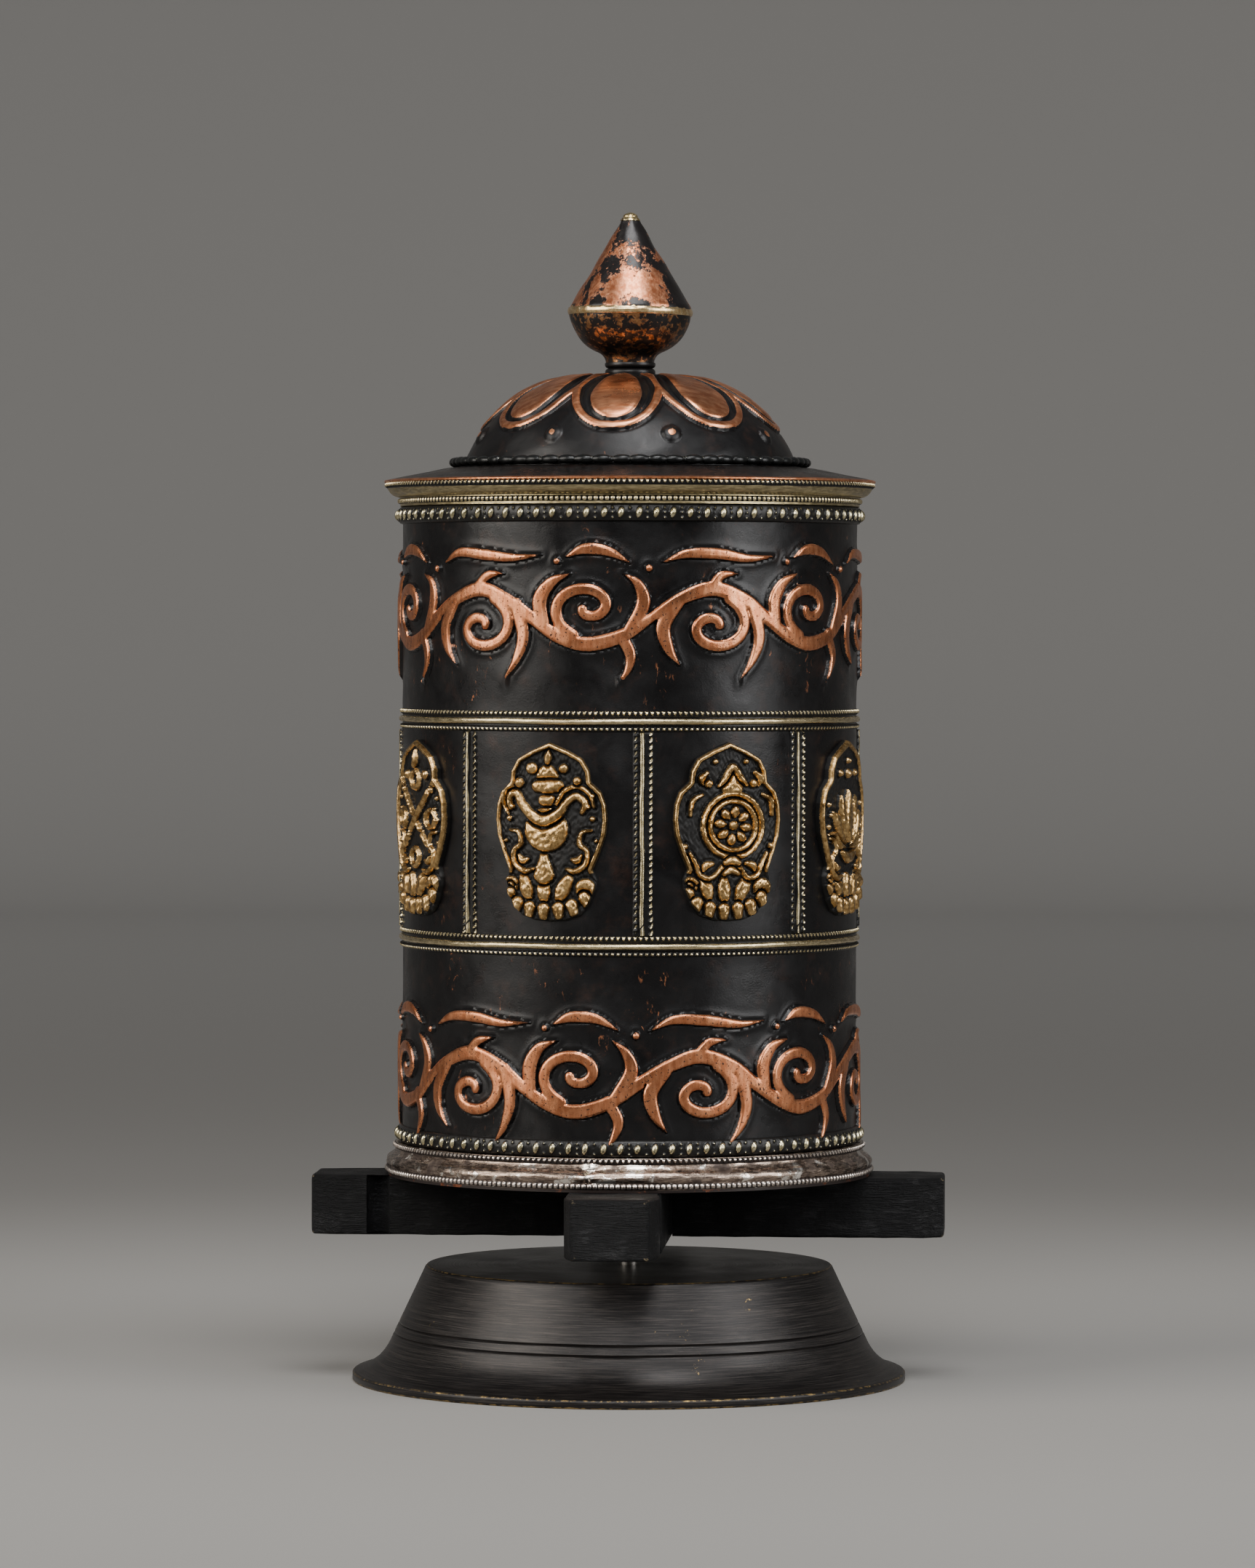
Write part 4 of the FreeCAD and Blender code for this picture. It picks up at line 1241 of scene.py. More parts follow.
@dataclass
class Mouldings:
    """Foot moulding, cornice and top plate: closed profiles turned about the axis."""

    columns: int = 480
    solder_angle: float = -9.5

    def foot_moulding(self) -> Surface:
        """Land, full round, hollow and land, uneven by hand, with a lump of solder at the seam."""
        base, top = low("foot_moulding")[2], high("foot_moulding")[2]
        profile = arc_line((67.3, base), (72.4, base), (72.55, base + 0.2), (72.55, base + 1.9),
                           (71.9, base + 5.1, 0.7), (70.0, top - 2.0, -0.25), (70.0, top - 0.1),
                           (69.9, top), (67.3, top), (67.3, base + 0.01), step=0.4)[:-1]
        surface = solid_of_revolution(profile, self.columns)
        angle = np.arange(self.columns)[:, None] * 360.0 / self.columns
        radius, height = profile[None, :, 0], profile[None, :, 1]
        outside = smooth(radius, 68.5, 70.5) * (height > base + 1.5) * (height < top - 1.6)
        uneven = ripple(angle, height, 31, 0.16, turns=46, pitch=9.0, waves=20)
        turn = (angle - self.solder_angle + 180.0) % 360.0 - 180.0
        lump = 0.9 * np.exp(-(turn / 1.5 - 0.25 * np.sin(height * 1.3)) ** 2)
        lump = lump * smooth(np.sin(height * 2.1 + 0.6), -0.9, 0.6)
        surface.points = around(angle, radius + outside * (uneven - 0.1 + lump), height)
        patch = np.exp(-((turn - 3.0) / 11.0) ** 2) * outside
        surface.relief = 0.42 + 0.25 * uneven / 0.2 * outside + 0.3 * lump + 0.3 * patch
        return surface

    def cornice(self) -> Surface:
        """Land below and a hollow that flares out to the rim, with the marks of the file."""
        base, top = low("cornice")[2], high("cornice")[2]
        profile = arc_line((67.3, base), (68.6, base), (68.8, base + 0.15), (68.8, base + 2.8),
                           (72.6, top - 1.7, 0.7), (72.6, top), (67.3, top), (67.3, base + 0.01),
                           step=0.4)[:-1]
        surface = solid_of_revolution(profile, self.columns)
        angle = np.arange(self.columns)[:, None] * 360.0 / self.columns
        radius, height = profile[None, :, 0], profile[None, :, 1]
        outside = (radius > 69.0) * (height < top - 1.2) * (height > base + 2.0)
        uneven = ripple(angle, height, 33, 0.07, turns=60, pitch=8.0)
        surface.points = around(angle, radius + outside * uneven, height)
        surface.relief = np.broadcast_to(smooth(-height, -top + 0.8, -top + 3.6), angle.shape[:1]
                                         + profile.shape[:1])
        return surface

    def top_plate(self) -> Surface:
        """Rounded copper rim, low cone and flat seat round the mouth."""
        rim, seat = low("top_plate")[2], high("top_plate")[2]
        profile = arc_line((46.0, seat - 0.9), (54.6, seat - 0.9), (67.1, rim), (73.3, rim),
                           (73.6, rim + 0.25), (73.6, rim + 0.55), (73.3, rim + 0.8), (55.5, seat),
                           (46.1, seat), (46.0, seat - 0.1), step=1.2)
        surface = solid_of_revolution(profile, self.columns)
        angle = np.arange(self.columns)[:, None] * 360.0 / self.columns
        lift = ripple(angle, profile[None, :, 0] * 2.0, 35, 0.05, turns=30) * (profile[None, :, 0] > 57)
        lift = lift * (profile[None, :, 0] < 72.5)
        surface.points[..., 2] += lift
        surface.relief = smooth(profile[None, :, 0], 72.2, 73.3) * np.ones_like(angle)
        return surface

    def pieces(self) -> list[Piece]:
        """Moulding, cornice and top plate."""
        return [
            Piece("moulding_foot", [self.foot_moulding()], TINNED_COPPER, "drum", "silvered_copper",
                  ("foot_moulding",)),
            Piece("moulding_cornice", [self.cornice()], PALE_CORNICE, "drum", "pale_brass",
                  ("cornice",)),
            Piece("drum_top", [self.top_plate()], RIM_COPPER, "drum", "copper", ("top_plate",)),
        ]


@dataclass
class UprightStrips:
    """Strips between the plaques: a plain rib, dots on one side and scallops on the other."""

    radius: float = 68.0
    width: float = 6.0
    angles: tuple[float, ...] = (-88.0, -43.5, 3.3, 46.3, 90.5, 135.8, 181.3, 227.0)
    columns: int = 26
    dot_pitch: float = 2.1
    scallop_pitch: float = 2.0

    def strip(self, number: int) -> Surface:
        """Height field over (across, up) with a flat back, walls along both sides and closed at its foot;
        its top end is left open.
        """
        node = "panel_strip_" + str(number + 1)
        bottom, top = low(node)[2], high(node)[2]
        across = np.linspace(-self.width / 2, self.width / 2, self.columns)[:, None]
        count = int((top - bottom) / 0.3)
        up = np.linspace(0.0, top - bottom, count)[None]
        dots_up = (up + number * 0.7) % self.dot_pitch - self.dot_pitch / 2
        dots = np.sqrt(np.clip(1.0 - ((across + 2.1) ** 2 + dots_up ** 2) / 0.5 ** 2, 0.0, 1.0))
        wander = 0.1 * np.sin(up * 0.21 + number * 2.0) + 0.06 * np.sin(up * 0.57 + number)
        rib_x = across + 0.35 - wander
        rib = np.sqrt(np.clip(1.0 - (rib_x / 0.74) ** 2, 0.0, 1.0))
        scallop_up = (up + number * 1.3) % self.scallop_pitch - self.scallop_pitch / 2
        round_part = np.clip(1.0 - ((across - 2.6) ** 2 / 0.95 + scallop_up ** 2 / 0.6), 0.0, 1.0)
        scallop = np.sqrt(round_part) * smooth(-across, -2.85, -2.5)
        edge = smooth(self.width / 2 - np.abs(across), 0.0, 0.35)
        height = 0.22 * edge + 0.62 * dots + 0.86 * rib + 0.72 * scallop
        height = height * smooth(np.minimum(up, up.max() - up), -0.01, 0.25) * edge
        relief = np.maximum(np.maximum(dots, smooth(rib, 0.45, 0.9)), smooth(scallop, 0.2, 0.8))
        turn = self.angles[number] + np.degrees(across / self.radius)
        face = around(turn, self.radius + 0.02 + height, bottom + up)
        back = around(turn[::-1][[0, 8, 17, -1]], self.radius - 0.4, bottom + up)
        points = np.concatenate([face, back])
        shade = np.concatenate([relief, np.zeros((4, count))])
        ends = [points[:, k:k + 1] * 0.0 + points[:, k].mean(0) for k in (0, -1)]
        points = np.concatenate([ends[0], points, ends[1]], axis=1)
        shade = np.concatenate([shade[:, :1] * 0.0, shade, shade[:, :1] * 0.0], axis=1)
        return Surface(points, True, False, shade)

    def pieces(self) -> list[Piece]:
        """The eight strips."""
        return [Piece("strip_" + str(k + 1), [self.strip(k)], BEAD_BRASS, "drum", "pale_brass",
                      ("panel_strip_" + str(k + 1),)) for k in range(len(self.angles))]


# --------------------------------------------------------------------------------- plaques
class Emblem(Enum):
    """What a cast plaque shows, all common ornament."""

    KNOT = "knot"
    VASE = "vase"
    WHEEL = "wheel"
    LOTUS = "lotus"
    SHELL = "shell"
    BANNER = "banner"
    PARASOL = "parasol"
    FISH = "fish"


@dataclass
class CastPlaques:
    """Pointed leaf-shaped castings over a lotus seat, one emblem on each."""

    radius: float = 68.0
    half_width: float = 17.0
    ground: float = 1.35
    rim_height: float = 2.7
    rim_width: float = 1.5
    art_height: float = 1.75
    stroke_weight: float = 1.22
    across_points: int = 122
    up_points: int = 176
    angles: tuple[float, ...] = (-64.8, -19.5, 24.7, 67.8, 113.0, 158.5, 204.0, 249.8)
    half: tuple[tuple[float, float], ...] = (
        (0.0, 0.0), (0.28, 0.006), (0.54, 0.035), (0.70, 0.095), (0.81, 0.18), (0.825, 0.235),
        (0.75, 0.29), (0.87, 0.385), (0.97, 0.48), (1.0, 0.565), (0.98, 0.65), (0.9, 0.725),
        (0.72, 0.78), (0.70, 0.84), (0.58, 0.91), (0.33, 0.955), (0.0, 1.0))

    def width_at(self, share: np.ndarray) -> np.ndarray:
        """Half the plaque's width at a share of its height, straight between known places."""
        across, up = np.array(self.half).T
        return self.half_width * np.interp(share, up, across)

    def seat(self, art: Carving) -> None:
        """Lotus seat: three upturned petals between two round knobs, seven petals hanging below."""
        art.draw([(-6.2, 6.6, 1.6), (-7.0, 9.6, 3.4), (-8.0, 13.0, 2.2)],
                 [(-1.6, 5.6, 1.4), (-1.7, 8.6, 3.4), (-1.8, 12.0, 2.4)],
                 [(2.6, 6.2, 1.8), (4.0, 9.4, 3.7), (5.6, 12.4, 2.6)], gap=0.4)
        art.blobs((10.6, 9.8, 5.0), (-12.4, 10.6, 4.6), gap=0.4)
        art.stroke(spiral((-12.4, 10.6), (2.5, 0.6), (1.1, 0.8), 20.0, 1.2), 0.25)
        for across, up, lean in ((-12.9, 6.8, -0.9), (-10.2, 4.2, -0.6), (-6.2, 2.9, -0.3),
                                 (-1.8, 2.4, 0.0), (2.7, 2.7, 0.2), (7.0, 3.6, 0.6), (10.9, 5.8, 1.0)):
            art.draw([(across - lean * 0.6, up + 1.4, 3.1), (across + lean * 0.4, up - 0.9, 2.2)],
                     gap=0.35)

    def sprays(self, art: Carving, low_side: float = 17.0) -> None:
        """Curled ribbons and dots that fill the ground on both sides of an emblem."""
        for side in (-1, 1):
            art.draw([(side * 5.0, low_side - 1.6, 0.9), (side * 7.6, low_side - 2.2, 1.6),
                      (side * 10.6, low_side - 0.2, 1.5), (side * 11.0, low_side + 3.6, 1.4),
                      (side * 8.8, low_side + 5.8, 1.5), (side * 9.6, low_side + 9.0, 1.2),
                      (side * 12.2, low_side + 9.6, 0.9)], gap=0.3)
            art.draw([(side * 6.6, low_side + 1.2, 0.9), (side * 8.2, low_side + 0.9, 1.9),
                      (side * 9.4, low_side + 2.4, 0.8)], gap=0.25)
            art.blobs((side * 12.6, low_side + 13.0, 1.5), (side * 11.4, low_side + 16.4, 1.2),
                      (side * 13.6, low_side + 6.6, 1.1), (side * 12.6, low_side + 19.6, 1.4))

    def vase(self, art: Carving) -> None:
        """Round vase with a domed lid and a draped ribbon whose ends curl up."""
        art.draw([(-1.7, 20.0, 1.8), (-1.7, 17.0, 3.2), (-1.7, 13.9, 5.2)], gap=0.3)
        art.blobs((-1.0, 26.8, 10.8), gap=0.4)
        art.draw([(-1.6, 35.4, 3.0), (0.0, 35.4, 3.0)], gap=0.4)
        art.draw([(-0.6, 41.8, 5.8), (-0.6, 43.4, 4.2), (-0.6, 45.6, 0.8)], gap=0.3)
        art.draw([(-3.6, 39.4, 3.0), (-0.4, 39.3, 3.4), (2.6, 39.5, 3.0)], gap=0.4)
        art.draw([(-0.6, 46.4, 1.4), (-0.4, 48.0, 2.1), (-0.1, 49.8, 0.5)], gap=0.3)
        art.draw([(-12.0, 33.0, 1.2), (-12.6, 36.2, 2.0), (-10.2, 37.4, 2.0), (-8.2, 34.0, 2.4),
                  (-5.2, 30.8, 2.7), (-1.6, 29.3, 2.9), (2.6, 31.4, 2.6), (5.0, 34.6, 2.0),
                  (7.8, 36.6, 2.0), (10.4, 34.6, 2.0), (9.6, 31.8, 1.2)], gap=0.5)
        art.draw([(2.0, 34.2, 1.0), (4.4, 38.0, 1.3), (8.2, 39.4, 1.3), (11.8, 37.2, 1.3),
                  (13.0, 33.4, 0.8)], [(-9.6, 40.0, 1.0), (-13.4, 38.6, 1.2), (-14.4, 34.6, 1.0),
                                       (-12.8, 31.4, 0.8)], gap=0.3)
        art.blobs((-5.4, 44.6, 3.1), (4.2, 44.6, 2.5), (-9.3, 40.4, 2.6), (8.2, 41.0, 2.2), gap=0.3)
        self.sprays(art)

    def wheel(self, art: Carving) -> None:
        """Double ring with a hub and eight buds under a pointed leaf."""
        turn = np.linspace(0.0, 2.0 * math.pi, 65)
        for size, width in ((9.3, 1.5), (7.1, 1.4)):
            ring = np.stack([1.2 + size * np.sin(turn), 28.0 + size * np.cos(turn), turn * 0 + width], 1)
            art.stroke(ring, 0.35)
        art.blobs((1.2, 28.0, 2.5))
        for k in range(8):
            bud = math.radians(45.0 * k + 8.0)
            art.draw([(1.2 + r * math.sin(bud), 28.0 + r * math.cos(bud), w)
                      for r, w in ((2.6, 0.9), (4.2, 2.3), (5.2, 1.2))], gap=0.2)
        art.draw([(-0.7, 38.8, 3.0), (1.0, 39.0, 3.6), (2.4, 38.8, 3.0)],
                 [(0.9, 39.6, 3.2), (1.1, 41.0, 2.2), (1.2, 42.6, 0.6)])
        art.draw([(-3.4, 39.4, 0.8), (-1.6, 41.6, 1.7), (0.9, 45.2, 1.8), (3.6, 41.8, 1.7),
                  (5.6, 39.6, 0.8)], gap=0.35)
        for side in (-1, 1):
            art.draw([(1.2 + side * 9.6, 37.0, 1.0), (1.2 + side * 12.4, 35.2, 1.5),
                      (1.0 + side * 12.9, 31.0, 1.0)],
                     [(1.0 + side * 8.0, 39.6, 1.0), (0.8 + side * 9.4, 41.6, 1.9),
                      (0.6 + side * 7.6, 43.4, 1.2)], gap=0.3)
            art.blobs((0.6 + side * 7.0, 40.2, 2.2), (0.4 + side * 4.8, 46.6, 1.5),
                      (side * 13.4, 22.0, 1.6), (side * 12.2, 18.0, 1.9), gap=0.2)
            art.draw([(side * 2.6 + 0.4, 16.2, 1.3), (side * 5.6, 12.9, 1.5), (side * 8.8, 13.6, 1.5),
                      (side * 10.4, 17.0, 1.4), (side * 12.0, 20.0, 1.0)],
                     [(side * 5.4, 17.0, 1.3), (side * 7.4, 16.4, 2.0), (side * 8.0, 14.9, 0.8)],
                     gap=0.3)
        art.draw([(-1.2, 17.2, 1.6), (0.8, 17.8, 2.4), (2.8, 17.2, 1.6)],
                 [(-1.6, 14.0, 1.4), (0.4, 15.0, 2.0), (2.6, 14.0, 1.4)], gap=0.3)

    def knot(self, art: Carving) -> None:
        """Woven knot: two sets of crossing bands closed by loops, each over the last."""
        for k in (-1, 0, 1):
            for side in (-1, 1):
                shift = 4.4 * k
                art.draw([(side * (shift - 7.5), 29.0 - 7.5 + shift, 1.7),
                          (side * shift, 29.0 + shift, 1.7),
                          (side * (shift + 7.5), 29.0 + 7.5 + shift, 1.7)], gap=0.45)
        turn = np.linspace(0.0, 2.0 * math.pi, 41)
        for across, up in ((0.0, 40.6), (0.0, 17.6), (-9.4, 29.0), (9.4, 29.0)):
            loop = np.stack([across + 2.6 * np.sin(turn), up + 2.6 * np.cos(turn), turn * 0 + 1.5], 1)
            art.stroke(loop, 0.4)
        art.draw([(-1.0, 44.6, 1.6), (0.0, 46.6, 2.2), (0.4, 49.4, 0.6)], gap=0.3)
        art.blobs((-6.0, 42.0, 2.4), (6.0, 42.0, 2.4), (-9.4, 37.6, 1.8), (9.4, 37.6, 1.8), gap=0.2)
        self.sprays(art, 15.6)

    def lotus(self, art: Carving) -> None:
        """Open flower: a fan of overlapping petals, the middle one in front."""
        for lean in (78.0, -78.0, 52.0, -52.0, 26.0, -26.0, 0.0):
            turn = math.radians(lean)
            art.draw([(r * math.sin(turn), 21.0 + r * math.cos(turn) * 1.25, w)
                      for r, w in ((1.5, 2.0), (6.0, 4.4), (10.0, 3.4), (13.2, 0.7))], gap=0.45)
        art.draw([(-4.4, 19.0, 1.6), (0.0, 17.4, 3.0), (4.4, 19.0, 1.6)], gap=0.4)
        art.blobs((0.0, 42.4, 2.6), (0.0, 46.2, 1.8), (-5.6, 42.6, 2.0), (5.6, 42.6, 2.0), gap=0.2)
        self.sprays(art, 13.8)

    def shell(self, art: Carving) -> None:
        """Spiral shell standing on its point, with ribs along its lip."""
        art.draw([(2.4, 16.0, 1.4), (1.4, 21.0, 6.0), (0.0, 27.0, 11.0), (-0.6, 32.0, 12.0)], gap=0.4)
        art.stroke(spiral((-0.6, 33.4), (6.4, 0.8), (2.6, 1.2), -30.0, 1.9, 70), 0.45)
        for k in range(4):
            art.draw([(4.6 - k * 0.6, 29.0 - k * 3.2, 0.8), (7.0 - k * 0.8, 27.0 - k * 3.2, 1.6),
                      (8.0 - k, 24.4 - k * 3.0, 0.7)], gap=0.3)
        art.draw([(-0.4, 41.8, 1.2), (0.0, 44.6, 2.6), (0.4, 48.4, 0.6)], gap=0.3)
        art.blobs((-6.2, 42.0, 2.6), (6.0, 42.2, 2.4), gap=0.2)
        self.sprays(art)

    def banner(self, art: Carving) -> None:
        """Tall rolled banner: stacked bands that narrow upwards, with hanging ribbons."""
        for up, wide, tall in ((18.0, 9.6, 3.2), (22.6, 9.0, 3.4), (27.2, 8.4, 3.4), (31.6, 7.6, 3.2),
                               (35.8, 6.6, 3.2), (39.6, 9.4, 2.4)):
            art.draw([(-wide / 2, up - 0.3, tall), (0.0, up + 0.2, tall + 0.3), (wide / 2, up - 0.3, tall)],
                     gap=0.4)
        art.draw([(0.0, 42.4, 3.6), (0.0, 44.6, 2.8), (0.2, 48.6, 0.5)], gap=0.3)
        for side in (-1, 1):
            art.draw([(side * 6.4, 39.2, 1.4), (side * 9.6, 36.4, 1.9), (side * 8.8, 31.6, 1.5),
                      (side * 10.8, 27.4, 1.6), (side * 9.4, 24.6, 0.7)], gap=0.3)
        self.sprays(art, 14.4)

    def parasol(self, art: Carving) -> None:
        """Domed parasol with a scalloped fringe on a turned pole."""
        art.draw([(0.0, 14.6, 2.4), (0.0, 22.0, 1.6), (0.0, 28.0, 2.0)], gap=0.3)
        art.draw([(-9.8, 31.4, 2.0), (-7.4, 35.6, 4.4), (0.0, 38.8, 6.4), (7.4, 35.6, 4.4),
                  (9.8, 31.4, 2.0)], [(-7.6, 33.6, 4.0), (0.0, 35.4, 5.0), (7.6, 33.6, 4.0)], gap=0.4)
        for k in range(-3, 4):
            art.draw([(k * 3.0, 31.0 - abs(k) * 0.2, 2.7), (k * 3.05, 28.6 - abs(k) * 0.3, 1.8)], gap=0.4)
        art.draw([(0.0, 43.0, 2.8), (0.2, 45.0, 2.2), (0.2, 48.6, 0.5)], gap=0.3)
        art.blobs((-6.6, 42.4, 2.4), (6.6, 42.4, 2.4), gap=0.2)
        self.sprays(art, 14.4)

    def fish(self, art: Carving) -> None:
        """Two upright fish that mirror each other, heads down, tails crossing above."""
        for side in (-1, 1):
            art.draw([(side * -2.4, 42.6, 2.8), (side * -0.4, 38.6, 1.8), (side * 3.4, 33.0, 4.8),
                      (side * 5.2, 26.6, 6.0), (side * 3.4, 20.4, 4.4), (side * 1.6, 17.4, 1.6)],
                     gap=0.5)
            art.draw([(side * -3.8, 45.8, 0.8), (side * -2.8, 43.4, 1.8)],
                     [(side * -1.0, 46.6, 0.8), (side * -1.8, 43.6, 1.8)],
                     [(side * 7.6, 30.0, 1.8), (side * 10.6, 27.0, 1.8), (side * 11.4, 23.4, 0.6)], gap=0.3)
            art.blobs((side * 3.6, 21.4, 1.1), gap=0.5)
        self.sprays(art, 14.4)

    def plaque(self, emblem: Emblem, number: int) -> Surface:
        """Height field inside the outline, with a rounded rim, rough ground and a flat back.

        Args:
            emblem: What it shows.
            number: Its place in the row of plaques.

        Returns:
            The closed casting.
        """
        node = "plaque_" + emblem.value
        bottom, top = low(node)[2], high(node)[2]
        tall = top - bottom
        slow = np.linspace(0.0, math.pi / 2, 9)[1:-1]
        share = np.concatenate([[0.0], (1 - np.cos(slow)) * 0.03, np.linspace(0.03, 0.97, self.up_points),
                                1 - (1 - np.cos(slow[::-1])) * 0.03, [1.0]])
        side = np.sin(np.linspace(-math.pi / 2, math.pi / 2, self.across_points) * 0.97) / math.sin(
            math.pi / 2 * 0.97)
        x = side[:, None] * self.width_at(share)[None]
        y = np.broadcast_to(share[None] * tall, x.shape)
        art = Carving(x, y, weight=self.stroke_weight)
        self.seat(art)
        getattr(self, emblem.value)(art)
        outline = np.array(self.half) * (self.half_width, tall)
        outline = np.concatenate([outline, outline[::-1] * (-1, 1)])
        edge = Carving(x, y)
        edge.stroke(np.concatenate([outline, np.zeros((len(outline), 1))], 1))
        inset = -edge.depth
        rough = ripple(x * 40.0, y, 40 + number, 0.1, turns=9, pitch=1.5, waves=30)
        above_seat = smooth(y, 13.0, 15.5)
        rim = smooth(-inset, -self.rim_width - 0.25, -self.rim_width + 0.3) * above_seat
        wall = np.sqrt(np.clip(1.0 - (1.0 - np.clip(inset / 0.75, 0.0, 1.0)) ** 2, 0.0, 1.0))
        mound = art.mound(1.55) * smooth(inset, 0.1, 0.8)
        height = self.ground + rough * (1 - rim) + np.maximum(mound * self.art_height,
                                                              rim * (self.rim_height - self.ground))
        groove = 0.3 * np.exp(-((art.depth + 0.3) / 0.3) ** 2) * (1 - rim)
        face = around(self.angles[number] + np.degrees(x / self.radius),
                      self.radius - 0.2 + (height - groove + 0.2) * wall, bottom + y)
        back_side = np.array([0.96, 0.4, -0.4, -0.96])[:, None]
        back_x = back_side * self.width_at(share)[None]
        back = around(self.angles[number] + np.degrees(back_x / self.radius), self.radius - 0.3,
                      bottom + share[None] * tall)
        points = np.concatenate([face, back])
        for k in (0, -1):
            points[:, k] = points[:, k].mean(0)
        relief = np.maximum(smooth(mound, 0.15, 0.7), smooth(rim, 0.3, 0.8) * smooth(inset, -0.05, 0.4))
        return Surface(points, True, False, np.concatenate([relief, np.zeros_like(back_x)]))

    def pieces(self) -> list[Piece]:
        """One casting for each emblem."""
        return [Piece("casting_" + emblem.value, [self.plaque(emblem, number)], CAST_BRASS, "drum",
                      "cast_brass", ("plaque_" + emblem.value,))
                for number, emblem in enumerate(Emblem)]


